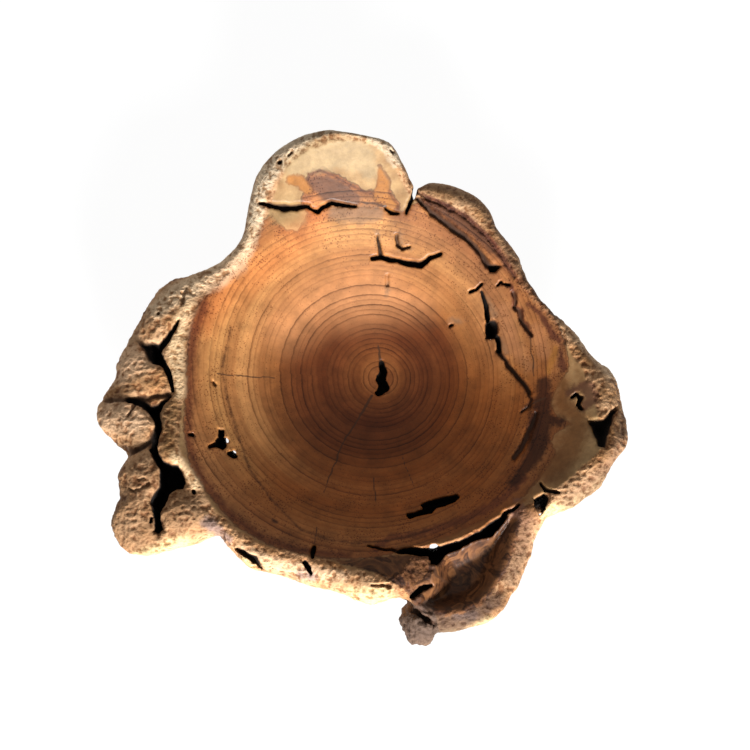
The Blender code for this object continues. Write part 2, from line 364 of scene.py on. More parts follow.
HOLES: list[Hole] = [
    Pocket("pith_hole", [(0, 13, 2.5), (1, 6, 3.4), (-1, -2, 4.2), (2, -9, 4.2), (-3, -13, 3.4)], 18),
    Pocket("curved_slot", [(-8, 100, 2.1), (-1, 101, 2.5), (12, 98, 2.2), (26, 95, 2.5), (34, 94, 3.1)]
           + [(41, 99, 2.2), (51, 102, 1.7)], 13),
    Pocket("slot_branch", [(-1, 101, 2), (-2, 109, 1.5), (-4, 117, 1.2)], 6),
    Pocket("bent_mark", [(13, 117, 1.7), (13, 110, 1.9), (17, 107, 1.7), (24, 108, 1.2)], 5),
    Pocket("dimple", [(5, 86, 1.7), (5, 79, 1.7)], 2.2),
    Pocket("pin_hole", [(59, 42, 1.3), (61, 43, 1.1)], 6),
    Pocket("ridge_channel", [(31, 145, 1.7), (42, 134, 2.5), (53, 127, 2.7), (64, 119, 2.9)]
           + [(72, 113, 2.5), (80, 105, 2.5), (86, 97, 2.5), (91, 89, 3)], 5, Lip.WORN),
    Cave("channel_end", [(90, 90), (97, 91), (103, 87), (98, 82), (91, 83)], 15, Lip.WORN),
    Pocket("ridge_line", [(29, 151, 1.3), (39, 145, 1.3), (64, 133, 1.3), (85, 117, 1.3), (103, 94, 1.3)]
           + [(113, 77, 1.7)], 2.5, Lip.WORN),
    Pocket("hook", [(76, 69, 1.7), (81, 70, 1.4), (86, 74, 1.7)], 9),
    Pocket("worm_hole_a", [(99, 72, 1.4), (102, 74, 1.4)], 8),
    Pocket("worm_hole_b", [(104, 72, 1.3), (109, 71, 1.6)], 9),
    Pocket("right_slit", [(86, 68, 1.3), (88, 61, 1.8), (90, 54, 2.1), (91, 46, 2.1)], 18),
    Cave("slit_hole", [(90, 46), (97, 44), (100, 40), (100, 29), (97, 27), (89, 28), (88, 40)], 30),
    Pocket("slit_neck", [(99, 29, 1.9), (101, 18, 1.8)], 16),
    Pocket("slit_tail", [(99, 17, 1.8), (105, 9, 1.8), (108, 2, 1.9), (116, -8, 2.1), (121, -16, 1.9)]
           + [(124, -24, 1.8)], 5, Lip.WORN),
    Pocket("slit_foot", [(124, -26, 1.1), (126, -30, 1.3), (124, -37, 1.3), (117, -40, 1)], 3),
    Pocket("jagged_line", [(112, 64, 2.2), (114, 57, 1.8), (113, 52, 1.8), (117, 49, 2.4), (118, 42, 2)]
           + [(122, 35, 2.4), (127, 26, 1.5)], 4),
    Pocket("gouge", [(129, -43, 1.9), (125, -53, 2.8), (121, -63, 2.9), (116, -74, 2.6), (110, -81, 2.1)],
           3.5, Lip.WORN),
    Pocket("low_right_crack", [(130, -106, 1.1), (134, -113, 1.8), (144, -116, 1.2)], 7),
    Cave("rim_hole", [(123, -120), (132, -115), (136, -120), (133, -129), (128, -134), (124, -127)],
         40, Lip.WORN, 0.05),
    Cave("front_slot", [(32, -119), (38, -115), (47, -113), (54, -111), (62, -110), (65, -114), (61, -118)]
         + [(52, -121), (44, -123), (41, -128), (34, -129), (27, -131), (22, -133), (19, -130), (20, -127)]
         + [(27, -126), (33, -123)], 24, Lip.CUT, 0.04),
    Cave("left_pocket", [(-137, -57), (-132, -57), (-131, -63), (-131, -69), (-129, -73), (-132, -77)]
         + [(-137, -75), (-144, -77), (-145, -74), (-139, -70), (-136, -65)], 26, Lip.CUT, 0.06),
    Pocket("round_hole", [(-126, -79, 2.6), (-123, -81, 2.6)], 26),
    Pocket("worm_hole_c", [(-158, -66, 1.9), (-157, -66, 1.9)], 10),
    Pocket("worm_hole_d", [(-142, -16, 1.1), (-140, -19, 1.3)], 4),
    Pocket("front_notch", [(-55, -159, 1.6), (-56, -164, 2.2), (-57, -168, 1.6)], 9, Lip.WORN),
    Cave("spur_groove", [(12, -164), (14, -160), (23, -158), (33, -159), (44, -158), (52, -156), (63, -153)]
         + [(74, -147), (82, -144), (89, -138), (95, -134), (100, -130), (103, -134), (97, -142), (89, -149)]
         + [(77, -152), (66, -158), (58, -162), (52, -165), (48, -169), (45, -173), (40, -173), (38, -166)]
         + [(27, -166)], 46, Lip.WORN, 0.03),
    Pocket("groove_tail", [(-12, -157, 1), (1, -160, 1.3), (14, -162, 1.7)], 6),
    Pocket("groove_end", [(99, -131, 1.7), (107, -128, 1.4), (113, -124, 0.9)], 10, Lip.WORN),
    Pocket("top_crack_left", [(-105, 137, 1.1), (-95, 135, 2.4), (-84, 134, 2.8), (-72, 136, 2.5)]
           + [(-63, 137, 1.4)], 8, Lip.WORN),
    Pocket("top_crack_middle", [(-62, 136, 1.2), (-55, 134, 2.2), (-50, 138, 2), (-43, 141, 1.6)]
           + [(-33, 140, 1.8), (-22, 139, 1.1)], 14),
    Pocket("top_crack_right", [(3, 138, 1.1), (8, 135, 2.1), (14, 134, 1.4)], 9),
    Pocket("lobe_notch", [(21, 135, 1.1), (24, 141, 1.6), (27, 147, 1.8), (28, 154, 2), (30, 161, 2.6)],
           24, Lip.WORN),
    Cave("upper_gap", [(-193, 13), (-188, 13), (-183, 13), (-184, 5), (-182, -2), (-184, -7), (-191, -5)]
         + [(-193, 3)], 36, Lip.GROWN, 0.05),
    Cave("upper_shelf", [(-209, 19), (-198, 15), (-191, 13), (-188, -4), (-195, -3), (-200, 5), (-204, 12)],
         13, Lip.GROWN, 0.5),
    Pocket("upper_gap_tail", [(-184, -3, 2.6), (-179, -10, 2.4), (-176, -20, 2), (-174, -28, 1.3)],
           16, Lip.WORN),
    Pocket("upper_gap_arm", [(-184, 12, 3), (-179, 18, 2.4), (-175, 26, 2.2), (-171, 33, 1.4)], 9, Lip.WORN),
    Cave("middle_gap", [(-198, -40), (-192, -42), (-186, -41), (-176, -33), (-181, -42), (-184, -48)]
         + [(-183, -56), (-184, -62), (-188, -55), (-192, -49), (-197, -45)], 32, Lip.GROWN, 0.03),
    Pocket("middle_gap_arm", [(-210, -36, 1.3), (-203, -39, 1.8), (-196, -42, 2.8)], 9, Lip.WORN),
    Pocket("lobe_crease_a", [(-179, -31, 1.5), (-194, -35, 2), (-209, -36, 2), (-223, -35, 2.2)]
           + [(-238, -33, 3)], 4, Lip.GROWN),
    Pocket("lobe_crease_b", [(-186, -64, 1.6), (-190, -72, 2), (-196, -78, 2.2), (-205, -80, 2.4)]
           + [(-218, -81, 3.2)], 5, Lip.GROWN),
    Pocket("middle_branch", [(-205, -42, 1.5), (-208, -46, 1.2), (-210, -51, 1)], 4, Lip.WORN),
    Pocket("gap_neck", [(-184, -58, 1.9), (-184, -65, 1.9), (-186, -73, 2.3), (-188, -80, 2)], 26, Lip.WORN),
    Cave("lower_gap", [(-189, -80), (-185, -78), (-183, -84), (-179, -90), (-174, -93), (-168, -93)]
         + [(-164, -99), (-160, -108), (-162, -113), (-168, -113), (-173, -117), (-175, -122), (-177, -127)]
         + [(-180, -133), (-179, -140), (-178, -147), (-181, -150), (-184, -148), (-185, -140), (-187, -132)]
         + [(-188, -126), (-188, -120), (-182, -112), (-181, -105), (-182, -97), (-187, -87)],
         42, Lip.GROWN, 0.03),
    Pocket("root_knot", [(-207, -112, 0.9), (-203, -115, 1.2), (-196, -114, 1.3), (-191, -111, 1.5)]
           + [(-191, -107, 1.5), (-195, -105, 1.2), (-199, -106, 0.9)], 2.5),
    Pocket("olive_dash", [(-165, 63, 0.9), (-167, 55, 1.2), (-167, 48, 0.8)], 2.5),
    Pocket("root_hole_a", [(-188, -138, 1.5), (-188, -141, 1.5)], 8),
    Pocket("root_hole_b", [(-154, -115, 1.8), (-153, -117, 1.8)], 7),
    Pocket("root_hole_c", [(-188, 39, 1.3), (-188, 38, 1.3)], 5),
    Pocket("lobe_hole_a", [(-87, 169, 1.8), (-86, 169, 1.8)], 7),
    Pocket("lobe_hole_b", [(-79, 174, 1.2), (-77, 176, 1.2)], 4),
    Pocket("lobe_hole_c", [(8, 181, 1.4), (9, 180, 1.4)], 5),
    Pocket("front_bark_a", [(-117, -162, 1.3), (-111, -167, 2.4), (-103, -171, 3), (-98, -176, 1.7)], 9),
    Pocket("front_bark_b", [(-63, -173, 2.2), (-60, -177, 2.4), (-58, -181, 1.6)], 10),
    Pocket("front_chip_a", [(-89, -177, 0.9), (-80, -182, 1.2), (-72, -184, 1.2)], 3),
    Pocket("front_chip_b", [(-41, -195, 1.2), (-29, -196, 1)], 3),
    Pocket("front_chip_c", [(-9, -192, 1.2), (6, -193, 1.4)], 3),
    Pocket("knob_gap", [(24, -199, 2.2), (31, -193, 2.8), (39, -190, 1.6)], 16, Lip.WORN),
    Cave("flare_pocket", [(167, -51), (171, -54), (181, -54), (189, -46), (197, -41), (190, -57), (186, -68)]
         + [(182, -83), (176, -79), (173, -68), (170, -59)], 20, Lip.CUT, 0.35),
    Pocket("knot_hole", [(158, -33, 1.2), (162, -30, 1.6), (165, -34, 2.2), (162, -40, 1.6)]
           + [(165, -44, 1.4)], 10),
    Pocket("knob_neck", [(20, -208, 1.2), (27, -211, 2), (32, -215, 1.6), (40, -219, 1.2), (44, -224, 1)],
           4, Lip.WORN),
]
TUNNELS = [
    Tunnel((43, -163, 106), (43, -134, -10), 3.2, 8),
    Tunnel((-130, -72, 98), (-130, -45, -12), 1.6, 6),
    Tunnel((-124, -82, 96), (-124, -55, -12), 1.8, 5),
]
SWELLINGS: list[tuple[float, float, float, float]] = [
    (-190, 32, 19, 3.5), (-203, -10, 26, 4), (-212, -57, 25, 3.5), (-200, -104, 22, 3),
    (-201, -138, 24, 3), (-163, -133, 19, 5), (184, -26, 22, 2), (60, 146, 30, 1.5),
]


@dataclass
class BurlForm:
    """The wood as a solid: a turned dish inside a grown, lobed edge on a flat foot."""

    floor_height: float = 26.0
    dish_rise: float = 110.0
    dish_radius: float = 130.0
    foot_radius: float = 94.0
    foot_follows_edge: float = 0.10
    mean_edge: float = 180.0
    belly: float = 1.8
    front_belly: float = 1.0
    shoulder_drop: float = 0.22
    most_drop: float = 8.0
    crown: float = 3.0
    rim_rounding: float = 5.0
    knob_rounding: float = 4.0
    foot_rounding: float = 4.0
    scoop_depth: float = 20.0
    scoop_slope: float = 20.0
    least_rim: float = 6.0
    # how far past the edge the shoulder's curve is carried on, in widths of the rim
    past_edge: float = 1.2
    swelling_rise: float = 0.3
    # the raggedness of the pockets' edges: the size and the depth of its coarse and of its fine part
    coarse_ragged: tuple[float, float] = (6.5, 0.8)
    fine_ragged: tuple[float, float] = (2.6, 0.5)
    block_margin: float = 8.0
    knob_centre: tuple[float, float, float] = (31, -216, 70)
    knob_radii: tuple[float, float, float] = (16, 20, 22)
    step: float = 1.3

    def __post_init__(self) -> None:
        """Make the tables of the two outlines and the raggedness of the edges."""
        self.edge_table = polar_table(EDGE)
        self.inner_table = polar_table(DISH_EDGE)
        self.ragged = Lattice(11)

    def dish_height(self, radius: Array) -> Array:
        """Return the height of the carved surface at a radius from the pith."""
        return self.floor_height + self.dish_rise * (np.sqrt(1 + (radius / self.dish_radius) ** 2) - 1)

    def plan(self, x: Array, y: Array) -> Plan:
        """Work out all that depends only on the place in plan.

        Args:
            x, y: places in plan, in millimetres.

        Returns:
            The plan's values at each place.
        """
        angle, radius = np.arctan2(y, x), np.hypot(x, y)
        edge = np.interp(angle, *self.edge_table, period=2 * np.pi)
        inner = np.minimum(np.interp(angle, *self.inner_table, period=2 * np.pi), edge - self.least_rim)
        rim = self.dish_height(inner)
        drop = np.minimum(self.shoulder_drop * (edge - inner), self.most_drop)
        level = np.clip((radius - inner) / (edge - inner), 0, self.past_edge)
        shoulder = rim + self.crown * np.sin(np.pi * np.clip(level, 0, 1)) - drop * level**3
        for cx, cy, reach, height in SWELLINGS:
            swell = np.clip(1 - ((x - cx) ** 2 + (y - cy) ** 2) / reach**2, 0, 1)
            shoulder = shoulder + height * swell * ease(level, 0.0, self.swelling_rise)
        top = np.where(radius < inner, self.dish_height(radius), shoulder)
        top = top - self.scoop_depth * ease(inside_outline(x, y, SPUR_FACE), 0, self.scoop_slope)
        steepness = self.dish_rise / self.dish_radius**2
        dish_slope = steepness * radius / np.sqrt(1 + (radius / self.dish_radius) ** 2)
        fall = (self.crown * np.pi * np.cos(np.pi * level) - 3 * drop * level**2) / (edge - inner)
        slope = np.where(radius < inner, dish_slope, fall)
        (coarse, coarse_depth), (fine, fine_depth) = self.coarse_ragged, self.fine_ragged
        # each bend reads the lattice at a level of its own, so that no two bends are alike
        bend_x = coarse_depth * self.ragged.at(x / coarse, y / coarse)
        bend_x = bend_x + fine_depth * self.ragged.at(x / fine, y / fine, 5.5)
        bend_y = coarse_depth * self.ragged.at(x / coarse, y / coarse, 9.5)
        bend_y = bend_y + fine_depth * self.ragged.at(x / fine, y / fine, 14.5)
        return Plan(
            x=x, y=y, radius=radius, edge=edge, inner=inner,
            foot=self.foot_radius + self.foot_follows_edge * (edge - self.mean_edge),
            widest=rim - drop, belly=self.belly + self.front_belly * np.clip(-np.sin(angle), 0, None) ** 2,
            top=top, top_cosine=1 / np.sqrt(1 + slope**2), bent_x=x + bend_x, bent_y=y + bend_y,
        )

    def wall(self, plan: Plan, z: Array) -> Array:
        """Measure the outer wall, negative inside the wood.

        Args:
            plan: the plan's values at each place.
            z: heights of the places.

        Returns:
            About the distance to the wall.
        """
        level = np.clip(z / plan.widest, 0, 1)
        left = (1 - level) ** (plan.belly - 1)
        wall = plan.foot + (plan.edge - plan.foot) * (1 - left * (1 - level))
        slope = (plan.edge - plan.foot) * plan.belly * left / plan.widest
        return (plan.radius - wall) / np.sqrt(1 + slope**2)

    def knob(self, x: Array, y: Array, z: Array) -> Array:
        """Return the distance to the knob at the spur's tip, negative inside it."""
        (cx, cy, cz), (rx, ry, rz) = self.knob_centre, self.knob_radii
        return (np.sqrt(((x - cx) / rx) ** 2 + ((y - cy) / ry) ** 2 + ((z - cz) / rz) ** 2) - 1) * rx

    def solid(self, plan: Plan, z: Array) -> Array:
        """Measure the wood's skin before any pocket is cut, negative inside the wood.

        Args:
            plan: the plan's values at each place.
            z: heights of the places.

        Returns:
            About the distance to the skin.
        """
        skin = soft_max((z - plan.top) * plan.top_cosine, self.wall(plan, z), self.rim_rounding)
        skin = -soft_max(-skin, -self.knob(plan.x, plan.y, z), self.knob_rounding)
        return soft_max(skin, -z, self.foot_rounding)

    def pocketed(self, plan: Plan, z: Array, skin: Array) -> Array:
        """Cut every pocket and tunnel out of the solid, at loose places.

        Args:
            plan: the plan's values at each place.
            z: heights of the places.
            skin: the distance to the solid's skin at each place.

        Returns:
            The distance to the finished skin, negative inside the wood.
        """
        skin = skin.copy()
        for hole in HOLES:
            near = np.nonzero(hole.reaches(plan.x, plan.y))[0]
            hollow = hole.hollow(plan.bent_x[near], plan.bent_y[near], z[near], plan.top[near])
            skin[near] = soft_max(skin[near], -hollow, hole.lip.value)
        for tunnel in TUNNELS:
            skin = soft_max(skin, -tunnel.hollow(plan.bent_x, plan.bent_y, z), Lip.CUT.value)
        return skin

    def at(self, points: Array) -> Array:
        """Return the distance to the finished skin at loose points, negative inside the wood."""
        plan = self.plan(points[:, 0], points[:, 1])
        return self.pocketed(plan, points[:, 2], self.solid(plan, points[:, 2]))

    def block(self) -> tuple[Array, Array]:
        """Fill a block of cells around the wood with the distance to its skin.

        Returns:
            The distances, and the block's lowest corner, in millimetres.
        """
        low = np.array(CAD_LOW) / MM - self.block_margin
        high = np.array(CAD_HIGH) / MM + self.block_margin
        count = np.ceil((high - low) / self.step).astype(int)
        xs, ys, zs = (low[k] + self.step * np.arange(count[k]) for k in range(3))
        grid_x, grid_y = np.meshgrid(xs, ys, indexing="ij")
        plan = self.plan(grid_x[..., None], grid_y[..., None])
        field = np.empty(tuple(count), dtype=np.float32)
        layers = 8
        for start in range(0, count[2], layers):
            part = slice(start, start + layers)
            field[:, :, part] = self.solid(plan, zs[None, None, part])
        for hole in HOLES:
            near = hole.reaches(grid_x, grid_y)
            rows, columns = np.nonzero(near.any(axis=1))[0], np.nonzero(near.any(axis=0))[0]
            spot = (slice(rows[0], rows[-1] + 1), slice(columns[0], columns[-1] + 1))
            hollow = hole.hollow(plan.bent_x[spot], plan.bent_y[spot], zs[None, None, :], plan.top[spot])
            field[spot] = soft_max(field[spot], -hollow, hole.lip.value)
        for tunnel in TUNNELS:
            reach = tunnel.REACH * tunnel.foot_radius
            ends = np.array([tunnel.top, tunnel.foot])
            from_x, to_x = np.searchsorted(xs, [ends[:, 0].min() - reach, ends[:, 0].max() + reach])
            from_y, to_y = np.searchsorted(ys, [ends[:, 1].min() - reach, ends[:, 1].max() + reach])
            spot = (slice(from_x, to_x), slice(from_y, to_y))
            hollow = tunnel.hollow(plan.bent_x[spot], plan.bent_y[spot], zs[None, None, :])
            field[spot] = soft_max(field[spot], -hollow, Lip.CUT.value)
        return field, low


def draw_skin(field: Array, low: Array, step: float) -> tuple[Array, Array]:
    """Draw a closed mesh of four-sided faces where a block of distances changes sign.

    Args:
        field: distances on a block of cells, negative inside.
        low: the block's lowest corner.
        step: the side of a cell.

    Returns:
        The mesh's points, and its faces as rows of four point numbers.
    """
    inside = field < 0
    shape = np.array(field.shape) - 1
    corners = [(i, j, k) for i in (0, 1) for j in (0, 1) for k in (0, 1)]
    filled = np.zeros(shape, dtype=np.uint8)
    for i, j, k in corners:
        filled += inside[i : i + shape[0], j : j + shape[1], k : k + shape[2]]
    cells = np.argwhere((filled > 0) & (filled < len(corners)))
    number = np.full(shape, -1, dtype=np.int64)
    number[tuple(cells.T)] = np.arange(len(cells))
    total, crossings = np.zeros((len(cells), 3)), np.zeros((len(cells), 1))
    for a in corners:
        for axis in range(3):
            if a[axis]:
                continue
            b = tuple(c + (k == axis) for k, c in enumerate(a))
            from_value = field[tuple((cells + a).T)].astype(float)
            to_value = field[tuple((cells + b).T)].astype(float)
            crosses = (from_value < 0) != (to_value < 0)
            gap = np.where(crosses, from_value - to_value, 1.0)
            place = np.repeat(np.array([a], dtype=float), len(cells), axis=0)
            place[:, axis] += from_value / gap
            total += np.where(crosses[:, None], place, 0)
            crossings[:, 0] += crosses
    points = low + step * (cells + total / crossings)
    faces = []
    for axis in range(3):
        first, second = (axis + 1) % 3, (axis + 2) % 3
        head = [slice(None)] * 3
        tail = [slice(None)] * 3
        head[axis], tail[axis] = slice(0, -1), slice(1, None)
        changes = inside[tuple(head)] != inside[tuple(tail)]
        nodes = np.argwhere(changes)
        nodes = nodes[(nodes[:, first] > 0) & (nodes[:, second] > 0)]
        around = []
        for u, v in ((-1, -1), (0, -1), (0, 0), (-1, 0)):
            cell = nodes.copy()
            cell[:, first] += u
            cell[:, second] += v
            around.append(number[tuple(cell.T)])
        quads = np.stack(around, axis=1)
        outward = inside[tuple(nodes.T)]
        quads[~outward] = quads[~outward][:, ::-1]
        faces.append(quads)
    return points, np.concatenate(faces)


def main_body(points: Array, faces: Array) -> tuple[Array, Array]:
    """Keep the largest connected part of a mesh, so no crumb floats in a pocket.

    Args:
        points: the mesh's points.
        faces: rows of four point numbers.

    Returns:
        The kept points, and their faces renumbered.
    """
    label = np.arange(len(points))
    starts, ends = faces.ravel(), np.roll(faces, -1, axis=1).ravel()
    while True:
        lowest = np.minimum(label[starts], label[ends])
        fresh = label.copy()
        np.minimum.at(fresh, label[starts], lowest)
        np.minimum.at(fresh, label[ends], lowest)
        fresh = fresh[fresh]
        if np.array_equal(fresh, label):
            break
        label = fresh
    kept = label == np.bincount(label).argmax()
    number = np.cumsum(kept) - 1
    return points[kept], number[faces[kept[faces[:, 0]]]]


@dataclass(frozen=True)
class StainOrPaintedLight:
    """A patch of another colour, as strokes in plan: a stain in the wood, or painted light or shade laid over
    it.
    """

    name: str
    colour: str
    strokes: list[Spine]
    soft: float
    strength: float
    ragged: float = 7.0

    def gap(self, x: Array, y: Array) -> Array:
        """Return the distance past the nearest stroke's side, negative in the patch."""
        gaps = [along_spine(x, y, stroke)[0] for stroke in self.strokes]
        return np.minimum.reduce(gaps)


HEARTWOOD: Outline = [
    (-163, -36), (-163, -63), (-157, -93), (-144, -114), (-119, -143), (-91, -159), (-67, -165), (-42, -169),
    (-8, -168), (23, -160), (55, -149), (88, -134), (113, -119), (134, -95), (143, -82), (139, -71),
    (143, -62), (157, -56), (145, -49), (140, -36), (144, -26), (151, -15), (156, -5), (154, 13),
    (147, 36), (138, 54), (126, 72), (111, 92), (92, 112), (72, 129), (54, 140), (37, 146), (24, 138),
    (15, 133), (15, 141), (7, 151), (-2, 164), (-4, 151), (-14, 150), (-32, 159), (-51, 166), (-63, 162),
    (-65, 149), (-70, 137), (-63, 131), (-72, 116), (-83, 117), (-94, 128), (-102, 121), (-111, 102),
    (-129, 80), (-147, 59), (-156, 43), (-161, 21), (-163, -5),
]
FIGURED: Outline = [
    (-62, -166), (-30, -170), (4, -166), (40, -165), (80, -149), (104, -132), (114, -138), (108, -162),
    (100, -181), (90, -196), (79, -207), (64, -213), (48, -215), (30, -213), (20, -197), (-6, -182),
    (-30, -175), (-52, -167),
]
